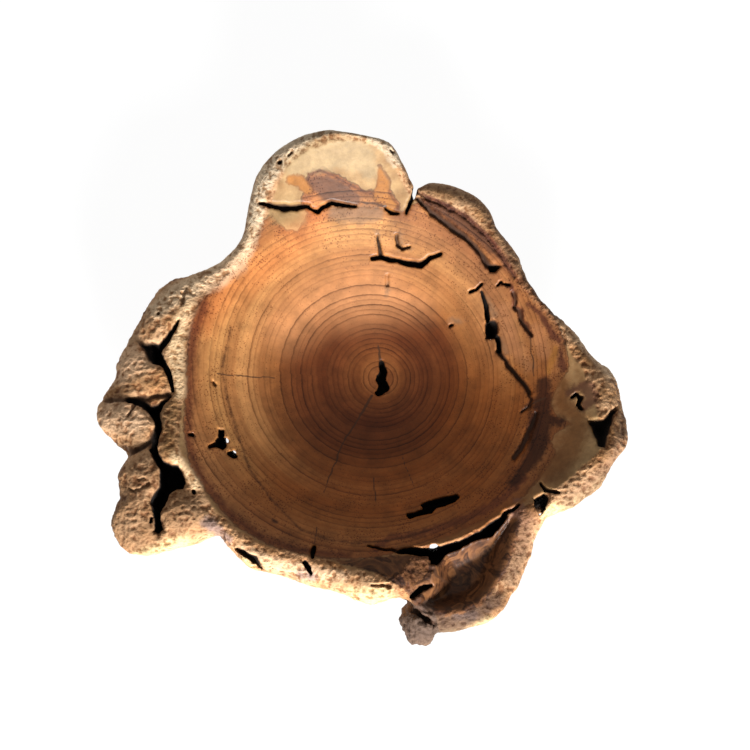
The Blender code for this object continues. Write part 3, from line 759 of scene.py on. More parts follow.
STAINS_AND_PAINTED_LIGHT = [
    # grown sapwood, brushed: olive and grey where it weathered, cream where it was freshly cut; some of these
    # bands are also lightened with painted light
    # olive band, partly weathered olive sapwood and partly painted light: lightened to pale cream where the
    # upper-left rim faces away from the lamp
    StainOrPaintedLight("olive_band_and_painted_light", "#F0CEA6", [[(-190, 42, 8), (-174, 56, 10), (-157, 66, 10), (-141, 74, 11)]
                                    + [(-124, 88, 9), (-114, 106, 6), (-110, 122, 6)]], 4, 0.9),
    # grey band on the far rim, partly weathered grey sapwood and partly painted light where the rolled edge
    # faces away from the lamp
    StainOrPaintedLight("grey_band_and_painted_light", "#DCC4A4", [[(-108, 125, 7), (-106, 144, 7), (-96, 163, 9), (-79, 180, 8)]
                                   + [(-60, 193, 7), (-42, 197, 5), (-22, 196, 5), (0, 187, 5)]
                                   + [(13, 174, 6)]],
          3, 0.9),
    StainOrPaintedLight("grey_ridge", "#947050", [[(40, 158, 5), (66, 150, 6), (88, 136, 6), (100, 112, 5), (122, 74, 5)]
                                    + [(150, 40, 7)]], 4, 0.75),
    # top of the right flare, partly brushed sapwood and partly painted light where it faces away from the
    # lamp
    StainOrPaintedLight("flare_top_and_painted_light", "#DCBC98", [[(170, 20, 8), (180, 8, 9), (192, -14, 7)]], 4, 0.85),
    StainOrPaintedLight("cream_strip", "#F6D0A0", [[(-160, 46, 5), (-168, 32, 6), (-173, 12, 7), (-171, -8, 6)]
                                     + [(-168, -30, 5)], [(-170, -86, 4), (-159, -98, 4), (-151, -111, 4)]],
          3, 0.85),
    StainOrPaintedLight("olive_strip", "#845E34", [[(-174, -42, 7), (-176, -62, 6), (-175, -80, 6)]], 5, 0.7),
    StainOrPaintedLight("cream_face", "#D8BA88", [[(-21, -197, 4), (-10, -200, 6), (4, -197, 4)],
                                    [(-113, -171, 3), (-105, -176, 3)], [(-84, -186, 3), (-62, -192, 4)],
                                    [(-200, -167, 4), (-182, -162, 4), (-160, -154, 4)],
                                    [(134, -132, 5), (151, -126, 5), (170, -118, 5), (180, -106, 3)],
                                    [(46, -228, 3), (66, -228, 3), (88, -217, 3)]], 3, 1.0, 3.0),
    StainOrPaintedLight("flare_tan", "#84644A", [[(204, -52, 7), (201, -66, 9), (192, -90, 9), (172, -112, 9)]
                                   + [(150, -124, 6)]], 5, 0.8),
    StainOrPaintedLight("front_tan", "#DAB48E", [[(-112, -163, 4), (-84, -176, 5), (-58, -180, 5), (-30, -185, 4)]],
          3, 0.8),
    StainOrPaintedLight("lilac_bark", "#8C7672", [[(-141, -142, 6), (-132, -149, 4), (-124, -156, 3)],
                                    [(109, -130, 5), (115, -138, 5), (111, -122, 3)],
                                    [(-66, -182, 3), (-56, -184, 3)], [(60, -215, 3), (74, -213, 4)]],
          3, 0.75),
    # carved sapwood
    StainOrPaintedLight("olive_sapwood", "#7E5731", [[(151, -20, 5), (150, -38, 6), (163, -51, 6), (159, -68, 10)]
                                       + [(150, -86, 10), (136, -99, 7)]], 6, 0.85),
    StainOrPaintedLight("top_cream", "#AD946E", [[(-76, 166, 8), (-57, 174, 12), (-36, 178, 12), (-19, 176, 12)]
                                   + [(-11, 166, 7)]], 4, 0.7),
    StainOrPaintedLight("cream_wedge", "#8E7048", [[(-90, 127, 6), (-79, 126, 7), (-70, 127, 5)]], 4, 0.8),
    StainOrPaintedLight("spur_brown", "#7C5E45", [[(118, -134, 7), (114, -160, 8), (104, -184, 8)]], 6, 0.9),
    StainOrPaintedLight("spur_foot", "#402C21", [[(92, -202, 8), (62, -220, 9), (30, -220, 18)]], 6, 0.85),
    # painted shade: tan-brown darkening over the lower root swellings that face the lamp
    StainOrPaintedLight("painted_root_shade", "#8A6748", [[(-196, -116, 22), (-200, -144, 22)],
                                  [(-164, -133, 18), (-162, -133, 18)]], 8, 0.6),
    # left lobes, partly pale tan sapwood and partly painted light on the swellings that slope away from the
    # lamp
    StainOrPaintedLight("lobe_tan_and_painted_light", "#EAC098", [[(-218, -4, 18), (-196, 2, 12)],
                                  [(-222, -50, 16), (-206, -54, 12)]], 8, 0.75),
    # lip above the spur's groove, partly its own brown and partly painted shade where the lip faces the lamp
    StainOrPaintedLight("lip_tan_and_painted_shade", "#8E6238", [[(12, -158, 1.6), (34, -155, 2), (53, -152, 2), (66, -147, 2.4)]
                                 + [(83, -139, 2.4), (94, -131, 2.2), (105, -124, 1.6), (116, -121, 1.6)]],
          1.5, 0.8, 3.0),
    # heartwood: clouds first, some of them painted light and painted shade, then the sharper patches and
    # lines
    # painted light: a lighter arc above the pith, where the lit part of the dish reaches
    StainOrPaintedLight("painted_light_above_pith", "#C88A5A", [[(-84, 36, 14), (-54, 62, 18), (0, 70, 20), (34, 62, 8)]],
          22, 0.75),
    # painted shade: a darker brown cloud on the dish's far right slope
    StainOrPaintedLight("painted_shade_far_right", "#865436", [[(20, 122, 10), (60, 108, 16), (84, 84, 16), (100, 52, 14)]
                                     + [(106, 20, 10)]], 16, 0.75),
    # painted shadow: deeper, more saturated brown over the dish's near and right side, where the front rim's
    # shadow falls
    StainOrPaintedLight("painted_front_shadow", "#9F531A", [[(-80, -110, 26), (0, -120, 36), (70, -100, 44), (100, -40, 40)]],
          45, 0.8),
    StainOrPaintedLight("orange_bloom", "#C87038", [[(-57, 131, 8), (-59, 119, 8), (-79, 106, 10), (-108, 83, 11)]
                                      + [(-133, 59, 11), (-150, 35, 9)]], 12, 0.5),
    StainOrPaintedLight("red_margin", "#5A2616", [[(-150, 47, 5), (-159, 20, 4), (-160, -8, 3), (-160, -35, 3)]
                                    + [(-160, -71, 3), (-150, -99, 3), (-127, -131, 3), (-98, -153, 3)]
                                    + [(-70, -162, 3), (-30, -166, 3)]], 5, 0.75),
    StainOrPaintedLight("purple_band", "#6B3524", [[(-6, -160, 3), (6, -149, 3), (27, -147, 3.2), (47, -141, 3.4)]
                                     + [(68, -134, 3.4), (89, -124, 3.4), (103, -114, 3.4), (116, -101, 4)]],
          2, 0.65),
    StainOrPaintedLight("grey_bloom", "#86664C", [[(-40, 133, 6), (-19, 132, 7), (-5, 133, 6)],
                                    [(89, 61, 2.6), (96, 48, 3)], [(59, 47, 2), (69, 45, 2)],
                                    [(5, 79, 2), (4, 70, 1.5)], [(15, 117, 2), (16, 107, 2), (24, 107, 1)],
                                    [(-3, 110, 2), (-4, 120, 1.5)], [(101, 24, 3), (106, 14, 2)]], 3, 0.7),
    StainOrPaintedLight("lobe_mauve", "#644230", [[(-57, 155, 5), (-47, 151, 9), (-33, 148, 7), (-22, 144, 4)]],
          2, 0.9, 4.0),
    StainOrPaintedLight("mauve_outline", "#5A3322", [[(-66, 150, 0.8), (-62, 160, 0.9), (-53, 164, 0.9), (-42, 161, 0.9)]
                                       + [(-29, 155, 0.9), (-15, 150, 0.7), (-4, 147, 0.6)]], 0.9, 0.8, 2.0),
    StainOrPaintedLight("amber_line", "#5E3418", [[(-2, 169, 1.6), (2, 157, 6), (-1, 147, 7), (11, 138, 4)],
                                    [(-79, 155, 3), (-70, 155, 5.2), (-63, 149, 4.4)]], 0.9, 0.7, 4.0),
    StainOrPaintedLight("amber", "#AC7034", [[(-2, 166, 1.6), (1, 156, 5), (-1, 147, 6), (9, 139, 3)],
                               [(-78, 155, 3), (-70, 155, 4.2), (-64, 149, 3.4)],
                               [(146, 12, 2), (143, 2, 3), (140, -8, 2.3)]], 1.6, 0.85, 4.0),
    StainOrPaintedLight("ridge_pink", "#563626", [[(41, 141, 4), (58, 131, 6), (78, 117, 5), (96, 100, 4)]], 3, 0.85),
    StainOrPaintedLight("slope_pink", "#BE8257", [[(104, 50, 5), (112, 20, 7), (124, 0, 5)], [(130, 30, 5), (136, 10, 5)]],
          5, 0.5),
    # dark red on the right inner wall, partly its own red-brown and partly painted shade, near black where
    # the wall faces away from the lamp
    StainOrPaintedLight("right_red_and_painted_shade", "#34160C", [[(136, -17, 6), (135, -32, 7), (132, -46, 9), (131, -61, 9), (128, -79, 7)]
                                   + [(117, -93, 5), (108, -104, 4)], [(136, -50, 6), (148, -53, 4)]],
          3, 0.85),
    StainOrPaintedLight("knot_red", "#60382A", [[(156, -29, 3), (164, -25, 4), (171, -26, 5), (173, -37, 6)]
                                  + [(168, -42, 4)]],
          2.5, 0.75),
    StainOrPaintedLight("ring_line", "#4A2818", [[(-128, 32, 0.5), (-133, 8, 0.6), (-135, -5, 0.7), (-130, -31, 0.8)]
                                   + [(-122, -57, 0.8), (-110, -92, 0.8), (-91, -118, 0.8), (-67, -144, 0.6)]
                                   + [(-44, -152, 0.8), (-22, -155, 0.8), (6, -152, 0.8), (39, -143, 0.6)]],
          1.3, 0.7, 3.0),
    StainOrPaintedLight("ridge_dark", "#53291D", [[(29, 151, 1.2), (48, 142, 1.2), (74, 128, 1.4), (95, 106, 1.8)]
                                    + [(106, 88, 2.4), (113, 77, 2)],
                                    [(124, 53, 1.4), (132, 45, 2), (138, 36, 2.4), (144, 23, 3)]
                                    + [(149, 18, 2.6)],
                                    [(150, 15, 1), (150, 4, 2), (150, -3, 3.4), (152, -7, 2.6)],
                                    [(109, 71, 2.4), (113, 62, 2.6), (113, 52, 2.2), (118, 48, 3)]
                                    + [(119, 40, 2.6), (123, 34, 2.6), (127, 25, 1.6)]], 1.6, 0.85, 4.0),
    StainOrPaintedLight("gouge_dark", "#3F231A", [[(129, -43, 1.6), (125, -53, 2.6), (121, -63, 2.8), (110, -81, 2)],
                                    [(100, 17, 1.6), (108, 2, 2), (121, -16, 2), (124, -24, 1.6)],
                                    [(31, 145, 1.2), (53, 127, 2), (72, 113, 2), (91, 89, 2.6)],
                                    [(124, -26, 1), (126, -31, 1.6), (117, -40, 1)],
                                    [(-89, -137, 1.6), (-87, -138, 1.6)]], 1.4, 0.85, 3.0),
]
CRACKS: list[Spine] = [
    [(-1, 15, 1.2), (-2, 23, 0.7), (-4, 30, 0.4)],
    [(-9, -16, 1.0), (-19, -36, 0.7), (-32, -57, 0.55), (-42, -87, 0.5), (-49, -108, 0.3)],
    [(-139, -9, 0.4), (-115, -8, 0.55), (-91, -6, 0.35)],
    [(-7, -93, 0.4), (-5, -118, 0.4)],
    [(17, -73, 0.35), (27, -102, 0.35)],
    [(-54, -141, 0.4), (-55, -156, 0.4)],
    [(126, 24, 0.5), (126, 13, 0.4), (128, 3, 0.4), (128, -9, 0.4)],
    [(117, -40, 0.6), (126, -34, 0.8), (137, -30, 0.6)],
    [(-18, 142, 0.6), (-7, 141, 0.6), (3, 139, 1.0)],
    [(42, -175, 1.1), (44, -182, 1.1), (51, -185, 0.9), (61, -187, 0.9)],
    [(58, -171, 0.9), (61, -176, 1.1), (64, -182, 1.3), (65, -189, 0.9)],
    [(44, -193, 1.2), (46, -201, 1.4), (53, -208, 1.6), (56, -210, 1.1)],
]


@dataclass
class BurlSkin:
    """The fine skin of the burl, roughened where it grew and smooth where it was carved."""

    form: BurlForm
    ripple_across: int = 15
    ripple_along: float = 5.0
    ripple_depth: float = 0.6
    crinkle_size: float = 4.8
    lump_size: float = 34.0
    lump_height: float = 1.6
    pimple_size: float = 11.0
    pimple_height: float = 1.0
    gnarl_size: float = 8.0
    gnarl_height: float = 3.2
    ring_width: float = 4.1
    # where the skin turns from the top onto the outer wall, by the distance to that wall
    wall_turn: Span = Span(-7, -1.5)
    dish_border: Span = Span(-1.2, 1.2)
    dish_wander: float = 1.5
    dish_wander_size: float = 9.0
    scoop_border: Span = Span(0.5, 3)
    pocket_depth: Span = Span(0.6, 6.5)
    knob_reach: Span = Span(4, 0.5)
    # added to the height away from the outer wall, so that only the wall reads as low
    above_wall: float = 100.0
    ripple_outward: float = 0.8
    ripple_bend: float = 1.5
    ripple_bend_size: float = 16.0
    ripple_share: float = 0.45
    crinkle_share: float = 0.9
    # how much the rings grew faster on one side, and toward where
    ring_drift: float = 0.11
    ring_drift_toward: float = 205.0
    ring_wave: float = 0.035
    ring_wave_size: float = 60.0
    ring_wave_steps: float = 4.0
    ring_loop: float = 4.0
    # how much of the roughness stays: on the far side, on the cream strip, near the foot, in the pockets
    far_calm: Span = Span(40, 110, 1.0, 0.4)
    cream_calm: Span = Span(6, 0, 1.0, 0.15)
    foot_calm: Span = Span(1.5, 12)
    pocket_calm: float = 0.7
    top_pimples: float = 0.35

    def draw(self) -> None:
        """Draw the skin's points and faces, and pull the points onto the exact form."""
        field, low = self.form.block()
        points, faces = main_body(*draw_skin(field, low, self.form.step))
        nudge, least_slope, most_pull = 0.2, 0.2, 1.0
        here = self.form.at(points)
        nudged = [self.form.at(points + nudge * np.eye(3)[k]) for k in range(3)]
        slope = (np.stack(nudged, axis=1) - here[:, None]) / nudge
        length = np.maximum(np.linalg.norm(slope, axis=1, keepdims=True), least_slope)
        self.normals = slope / length
        self.points = points - np.clip(here[:, None] / length, -most_pull, most_pull) * self.normals
        self.faces = faces

    def measure(self) -> dict[str, Array]:
        """Work out, at each point, what the wood is there.

        Returns:
            The values that the finish reads, by name.
        """
        x, y, z = self.points.T
        plan = self.form.plan(x, y)
        lattice = Lattice(23)
        wall = self.form.wall(plan, z)
        skin = self.form.solid(plan, z)
        outer = self.wall_turn.eased(wall)
        wander = self.dish_wander * lattice.layered(x / self.dish_wander_size, y / self.dish_wander_size)
        in_scoop = self.scoop_border.eased(inside_outline(x, y, SPUR_FACE))
        in_dish = self.dish_border.eased(plan.inner - plan.radius + wander)
        carved = np.maximum(in_dish, in_scoop) * (1 - outer)
        pocket = self.pocket_depth.eased(-skin)
        knob = self.knob_reach.eased(self.form.knob(x, y, z))
        angle = np.arctan2(y, x)
        round_steps = angle / (2 * np.pi) * Lattice.SIZE
        along = (plan.radius * self.ripple_outward + z) / self.ripple_along
        size = self.ripple_bend_size
        bend = self.ripple_bend * lattice.at(x / size, y / size, z / size)
        across = round_steps * self.ripple_across + bend
        ripple = lattice.layered(across, along, 3.3, layers=2)
        size = self.crinkle_size
        crinkle = lattice.layered(x / size, y / size, z / size, layers=2)
        ripple = self.ripple_share * ripple + self.crinkle_share * (0.5 - 2 * np.abs(crinkle))
        drift = 1 + self.ring_drift * np.cos(angle - np.radians(self.ring_drift_toward))
        wave = lattice.at(round_steps / self.ring_wave_steps, plan.radius / self.ring_wave_size)
        drift += self.ring_wave * wave
        ring = plan.radius / drift
        values = {
            "ring": ring / self.ring_width,
            "grain": np.stack([ring, self.ring_loop * np.cos(angle), self.ring_loop * np.sin(angle)], axis=1),
            "heartwood": inside_outline(x, y, HEARTWOOD),
            "figured": inside_outline(x, y, FIGURED),
            "carved": carved, "pocket": pocket, "outer": outer, "knob": knob, "ripple": ripple,
            "wall_height": z + self.above_wall * (1 - outer),
            "crack": np.minimum.reduce([along_spine(plan.bent_x, plan.bent_y, crack)[0] for crack in CRACKS]),
        }
        for colour_patch in STAINS_AND_PAINTED_LIGHT:
            values[colour_patch.name] = colour_patch.gap(x, y)
        return values

    def roughen(self, values: dict[str, Array]) -> None:
        """Raise ripples, lumps and gnarls on the grown surface, and leave the foot flat.

        Args:
            values: what the wood is at each point, by name.
        """
        x, y, z = self.points.T
        lattice = Lattice(31)
        calm = self.far_calm.eased(y) * self.cream_calm.eased(values["cream_strip"])
        grown = (1 - values["carved"]) * self.foot_calm.eased(z) * calm
        lumps = lattice.layered(x / self.lump_size, y / self.lump_size, z / self.lump_size)
        pimples = lattice.layered(x / self.pimple_size, y / self.pimple_size, z / self.pimple_size, layers=2)
        gnarls = np.abs(lattice.layered(x / self.gnarl_size, y / self.gnarl_size, z / self.gnarl_size))
        rise = self.ripple_depth * values["ripple"] * grown * (1 - self.pocket_calm * values["pocket"])
        rise += self.lump_height * lumps * values["outer"] * grown
        on_wall = self.top_pimples + (1 - self.top_pimples) * values["outer"]
        rise += self.pimple_height * pimples * on_wall * grown
        rise += self.gnarl_height * (gnarls - 0.5) * values["knob"]
        self.points = self.points + rise[:, None] * self.normals

    def build(self) -> bpy.types.Object:
        """Make the skin's object.

        Returns:
            The object, with the values that the finish reads on its points.
        """
        self.draw()
        values = self.measure()
        self.roughen(values)
        mesh = bpy.data.meshes.new("burl_bowl")
        mesh.vertices.add(len(self.points))
        mesh.vertices.foreach_set("co", (self.points * MM).astype(np.float32).ravel())
        mesh.loops.add(self.faces.size)
        mesh.loops.foreach_set("vertex_index", self.faces.astype(np.int32).ravel())
        mesh.polygons.add(len(self.faces))
        mesh.polygons.foreach_set("loop_start", np.arange(0, self.faces.size, 4, dtype=np.int32))
        mesh.update(calc_edges=True)
        mesh.validate()
        for name, value in values.items():
            flat = value.ndim == 1
            layer = mesh.attributes.new(name, "FLOAT" if flat else "FLOAT_VECTOR", "POINT")
            layer.data.foreach_set("value" if flat else "vector", value.astype(np.float32).ravel())
        mesh.shade_smooth()
        bowl = bpy.data.objects.new("burl_bowl", mesh)
        bpy.context.collection.objects.link(bowl)
        return bowl


def linear(colour: str) -> tuple[float, float, float, float]:
    """Turn an sRGB hex colour into a linear one with full alpha."""
    parts = [int(colour[k : k + 2], 16) / 255 for k in (1, 3, 5)]
    return (*(p / 12.92 if p <= 0.04045 else ((p + 0.055) / 1.055) ** 2.4 for p in parts), 1.0)


def add_node(
    tree: bpy.types.NodeTree, kind: str, inputs: dict | None = None, **settings: object
) -> bpy.types.Node:
    """Add a node with its settings and links.

    Args:
        tree: the node tree.
        kind: the node's type name.
        inputs: for each input's name or number, an output to link or a constant.
        settings: the node's own settings; stops gives a colour ramp's (position, hex colour) pairs.

    Returns:
        The node.
    """
    node = tree.nodes.new(kind)
    stops = settings.pop("stops", None)
    for name, value in settings.items():
        setattr(node, name, value)
    if stops:
        elements = node.color_ramp.elements
        while len(elements) < len(stops):
            elements.new(0.5)
        for element, (position, colour) in zip(elements, stops):
            element.position = position
            element.color = linear(colour)
    for name, value in (inputs or {}).items():
        if isinstance(value, bpy.types.NodeSocket):
            tree.links.new(value, node.inputs[name])
        else:
            node.inputs[name].default_value = value
    return node


@dataclass(frozen=True)
class OiledEndGrain:
    """Oiled heartwood cut across the grain.

    Gives the eye rings about the pith, one dark line a year, warm bands of several years together,
    and dark pores that thicken toward the margin, all under a low, even sheen.
    """

    # colour from the pith outwards, by share of the rings
    by_ring: tuple = (
        (0.00, "#A8683A"), (0.08, "#985A2E"), (0.17, "#78401F"), (0.34, "#76401F"), (0.42, "#9C6234"),
        (0.52, "#C08650"), (0.64, "#BE864E"), (0.74, "#AE7444"), (1.00, "#BA8454"),
    )
    # one year, from the first pale wood to the last dark wood
    by_season: tuple = (
        (0.00, "#FFFFFF"), (0.55, "#F0F0F0"), (0.80, "#AEA49E"), (0.90, "#6C605A"), (1.00, "#FFFFFF"),
    )
    band_shade: str = "#9C6A4A"
    unmarked: str = "#FFFFFF"
    pore_shade: str = "#8E6A58"
    pore_strength: float = 0.65
    rings_across: float = 50.0
    waver_size: float = 5.0
    waver: float = 0.4
    # real pores are a third of a millimetre wide; these are coarser, so that they still show
    pore_spacing: float = 1.9
    pore_length: float = 30.0
    pore_clusters: float = 18.0
    pore_size: Span = Span(0.36, 0.6, 0.1, 0.36)
    pore_size_outward: Span = Span(18.0, 34.0, 0.45, 1.0)
    band_size: float = 10.0
    bands: Span = Span(0.40, 0.62, 0.4, 0.0)
    line_fading: float = 45.0
    line_strength: Span = Span(0.36, 0.60, 0.5, 1.0)
    roughness: float = 0.44


@dataclass(frozen=True)
class BrushedSapwood:
    """Pale sapwood under the bark. Gives the eye soft cream clouds beside the dark heartwood."""

    pale: str = "#AE8C60"
    deep: str = "#947048"
    cloud_size: float = 14.0
    clouds: Span = Span(0.35, 0.66)


@dataclass(frozen=True)
class WeatheredEdge:
    """The grown outside of the burl, cleaned of bark with a wire brush.

    Gives the eye fine wavy ridges in tan wood without shine, with painted shade in the valleys between them.
    """

    tan: str = "#CBA077"
    brown: str = "#A97A4E"
    valley_shade: str = "#A88C70"
    ridge: str = "#FFFFFF"
    cloud_size: float = 26.0
    clouds: Span = Span(0.38, 0.62)
    fibre_size: float = 2.2
    ripple_relief: float = 0.28
    # the heights at which the valley's shade ends and the ridge's begins
    valley_top: float = 0.18
    ridge_foot: float = 0.52
    roughness: float = 0.74


@dataclass(frozen=True)
class BarkPocketAndShade:
    """The inside of cracks and rot holes: black-brown bark and rot without any shine, with painted shade that
    turns the pockets nearer black the deeper they go.
    """

    mouth: str = "#4A3020"
    depth: str = "#150D08"
    roughness: float = 0.9


@dataclass(frozen=True)
class FiguredBurl:
    """Dark burl wood. Gives the eye swirls and eyes left by buds that never opened."""

    swirls: tuple = (
        (0.28, "#2C1A11"), (0.40, "#5E3A22"), (0.46, "#382013"), (0.54, "#7A5030"), (0.63, "#5E3B24"),
        (0.74, "#3C2416"),
    )
    eye_spacing: float = 26.0
    swirl: float = 1.4


@dataclass(frozen=True)
class Coat:
    """A colour laid over the rest where a value on the skin's points passes from start to end."""

    value: str
    start: float
    end: float
    colour: str | bpy.types.NodeSocket
    strength: float = 1.0
    ragged: float = 0.0
    blend: str = "MIX"

    def span(self) -> Span:
        """Return how the value turns into the coat's share."""
        return Span(self.start, self.end, 0.0, self.strength)


@dataclass(frozen=True)
class OiledBurl:
    """The whole bowl's finish: each kind of wood where it belongs."""

    wood: OiledEndGrain = OiledEndGrain()
    sapwood: BrushedSapwood = BrushedSapwood()
    edge: WeatheredEdge = WeatheredEdge()
    pocket: BarkPocketAndShade = BarkPocketAndShade()
    figured: FiguredBurl = FiguredBurl()
    border_colour: str = "#4A2A1A"
    margin_colour: str = "#6A3A22"
    knob_colour: str = "#4E3D33"
    low_wall_colour: str = "#75543B"
    low_wall_ragged: float = 24.0
    border_ragged: float = 6.0
    heartwood_border: tuple[float, float] = (2.9, 3.7)
    mottle_size: float = 16.0
    mottle: Span = Span(0.3, 0.7, 0.66, 1.2)
    grown_valley_shade: Span = Span(0.0, 1.0, 0.9, 0.0)
    relief: Span = Span(0.0, 1.0, 1.0, 0.2)
    edge_noise_size: float = 4.0
    relief_depth: float = 0.9
    refraction: float = 1.45
    specular: float = 0.3

    def end_grain(self, tree: bpy.types.NodeTree, place: bpy.types.NodeSocket) -> tuple:
        """Draw the heartwood's rings, bands and pores.

        Args:
            tree: the node tree.
            place: the place on the wood, in millimetres.

        Returns:
            The colour without its marks, the shade of its ring lines and pores, and the height of its grain.
        """
        wood = self.wood
        ring = add_node(tree, "ShaderNodeAttribute", attribute_name="ring").outputs["Fac"]
        grain = add_node(tree, "ShaderNodeAttribute", attribute_name="grain").outputs["Vector"]
        fine = add_node(tree, "ShaderNodeTexNoise",
                        {"Vector": place, "Scale": 1 / wood.waver_size, "Detail": 3.0}).outputs[0]

        years = add_node(tree, "ShaderNodeMath", {0: fine, 1: wood.waver, 2: ring}, operation="MULTIPLY_ADD")
        season = add_node(tree, "ShaderNodeMath", {0: years.outputs[0]}, operation="FRACT")
        year = add_node(tree, "ShaderNodeMath", {0: years.outputs[0]}, operation="FLOOR")
        line = add_node(tree, "ShaderNodeValToRGB", {"Fac": season.outputs[0]}, stops=wood.by_season)
        luck = add_node(tree, "ShaderNodeTexWhiteNoise", {"W": year.outputs[0]}, noise_dimensions="1D")
        fading = add_node(tree, "ShaderNodeTexNoise",
                          {"Vector": place, "Scale": 1 / wood.line_fading, "Detail": 2.0}).outputs[0]
        show = add_node(tree, "ShaderNodeMapRange", wood.line_strength.inputs(fading))
        strength = add_node(tree, "ShaderNodeMath", {0: luck.outputs[0], 1: show.outputs[0]},
                            operation="MULTIPLY").outputs[0]
        lines = add_node(tree, "ShaderNodeMix", {0: strength, 6: linear(wood.unmarked), 7: line.outputs[0]},
                         data_type="RGBA").outputs[2]

        from_pith = add_node(tree, "ShaderNodeMath", {0: ring, 1: 1 / wood.rings_across},
                             operation="MULTIPLY")
        base = add_node(tree, "ShaderNodeValToRGB", {"Fac": from_pith.outputs[0]}, stops=wood.by_ring)
        bands = add_node(tree, "ShaderNodeTexNoise",
                         {"Vector": grain, "Scale": 1 / wood.band_size, "Detail": 4.0, "Roughness": 0.55})
        band = add_node(tree, "ShaderNodeMapRange", wood.bands.inputs(bands.outputs[0]),
                        interpolation_type="SMOOTHSTEP").outputs[0]
        banded = add_node(tree, "ShaderNodeMix", {0: band, 6: base.outputs[0], 7: linear(wood.band_shade)},
                          data_type="RGBA", blend_type="MULTIPLY").outputs[2]

        narrow = 1 / wood.pore_spacing
        cell = add_node(tree, "ShaderNodeVectorMath", {0: place, 1: (narrow, narrow, 1 / wood.pore_length)},
                        operation="MULTIPLY").outputs[0]
        pores = add_node(tree, "ShaderNodeTexVoronoi", {"Vector": cell, "Scale": 1.0}).outputs["Distance"]
        cluster = add_node(tree, "ShaderNodeTexNoise",
                           {"Vector": place, "Scale": 1 / wood.pore_clusters, "Detail": 4.0}).outputs[0]
        many = add_node(tree, "ShaderNodeMapRange", wood.pore_size.inputs(cluster))
        outward = add_node(tree, "ShaderNodeMapRange", wood.pore_size_outward.inputs(ring))
        size = add_node(tree, "ShaderNodeMath", {0: many.outputs[0], 1: outward.outputs[0]},
                        operation="MULTIPLY")
        dot = add_node(tree, "ShaderNodeMath", {0: pores, 1: size.outputs[0]}, operation="LESS_THAN")
        dots = add_node(tree, "ShaderNodeMath", {0: dot.outputs[0], 1: wood.pore_strength},
                        operation="MULTIPLY").outputs[0]
        marks = add_node(tree, "ShaderNodeMix", {0: dots, 6: lines, 7: linear(wood.pore_shade)},
                         data_type="RGBA").outputs[2]
        height = add_node(tree, "ShaderNodeMath", {0: fine, 1: dots}, operation="SUBTRACT").outputs[0]
        return banded, marks, height

    def grown(self, tree: bpy.types.NodeTree, place: bpy.types.NodeSocket) -> tuple:
        """Draw the brushed edge of the burl.

        Args:
            tree: the node tree.
            place: the place on the wood, in millimetres.

        Returns:
            The colour without its ridges, the painted shade in the valleys between its ridges, and the height
            of its fibres.
        """
        edge = self.edge
        cloud = add_node(tree, "ShaderNodeTexNoise",
                         {"Vector": place, "Scale": 1 / edge.cloud_size, "Detail": 4.0}).outputs[0]
        share = add_node(tree, "ShaderNodeMapRange", edge.clouds.inputs(cloud))
        colour = add_node(tree, "ShaderNodeMix",
                          {0: share.outputs[0], 6: linear(edge.tan), 7: linear(edge.brown)}, data_type="RGBA")
        ripple = add_node(tree, "ShaderNodeAttribute", attribute_name="ripple").outputs["Fac"]
        fibre = add_node(tree, "ShaderNodeTexNoise",
                         {"Vector": place, "Scale": 1 / edge.fibre_size, "Detail": 4.0}).outputs[0]
        height = add_node(tree, "ShaderNodeMath", {0: ripple, 1: edge.ripple_relief, 2: fibre},
                          operation="MULTIPLY_ADD").outputs[0]
        stops = ((edge.valley_top, edge.valley_shade), (edge.ridge_foot, edge.ridge))
        shade = add_node(tree, "ShaderNodeValToRGB", {"Fac": height}, stops=stops).outputs[0]
        return colour.outputs[2], shade, height

    def woods(
        self, heartwood: bpy.types.NodeSocket, marks: bpy.types.NodeSocket, burl: bpy.types.NodeSocket
    ) -> list[Coat]:
        """List the coats that lie over the sapwood, from the lowest to the uppermost.

        Args:
            heartwood: the end grain's colour.
            marks: the shade of the end grain's ring lines and pores.
            burl: the figured wood's colour.

        Returns:
            The coats in order.
        """
        ragged = self.border_ragged
        start, end = self.heartwood_border
        coats = [Coat("heartwood", 1.7, 2.4, self.border_colour, 0.7, ragged),
                 Coat("heartwood", start, end, heartwood, 1.0, ragged)]
        for colour_patch in STAINS_AND_PAINTED_LIGHT:
            middle = colour_patch.ragged / 2
            coats.append(Coat(colour_patch.name, middle + colour_patch.soft, middle - colour_patch.soft, colour_patch.colour,
                              colour_patch.strength, colour_patch.ragged))
        coats.append(Coat("heartwood", start, end, marks, 1.0, ragged, "MULTIPLY"))
        coats.append(Coat("figured", 2.0, 4.5, burl, 1.0, ragged))
        return coats

    def lay(
        self,
        tree: bpy.types.NodeTree,
        ground: bpy.types.NodeSocket,
        uneven: bpy.types.NodeSocket,
        coats: list[Coat],
    ) -> bpy.types.NodeSocket:
        """Lay coats one over another.

        Args:
            tree: the node tree.
            ground: the colour below them all.
            uneven: the noise that makes their edges ragged.
            coats: the coats, from the lowest to the uppermost.

        Returns:
            The colour on top.
        """
        for coat in coats:
            value = add_node(tree, "ShaderNodeAttribute", attribute_name=coat.value).outputs["Fac"]
            bent = add_node(tree, "ShaderNodeMath", {0: uneven, 1: coat.ragged, 2: value},
                            operation="MULTIPLY_ADD").outputs[0]
            share = add_node(tree, "ShaderNodeMapRange", coat.span().inputs(bent),
                             interpolation_type="SMOOTHSTEP")
            colour = linear(coat.colour) if isinstance(coat.colour, str) else coat.colour
            mixed = add_node(tree, "ShaderNodeMix", {0: share.outputs[0], 6: ground, 7: colour},
                             data_type="RGBA", blend_type=coat.blend)
            ground = mixed.outputs[2]
        return ground

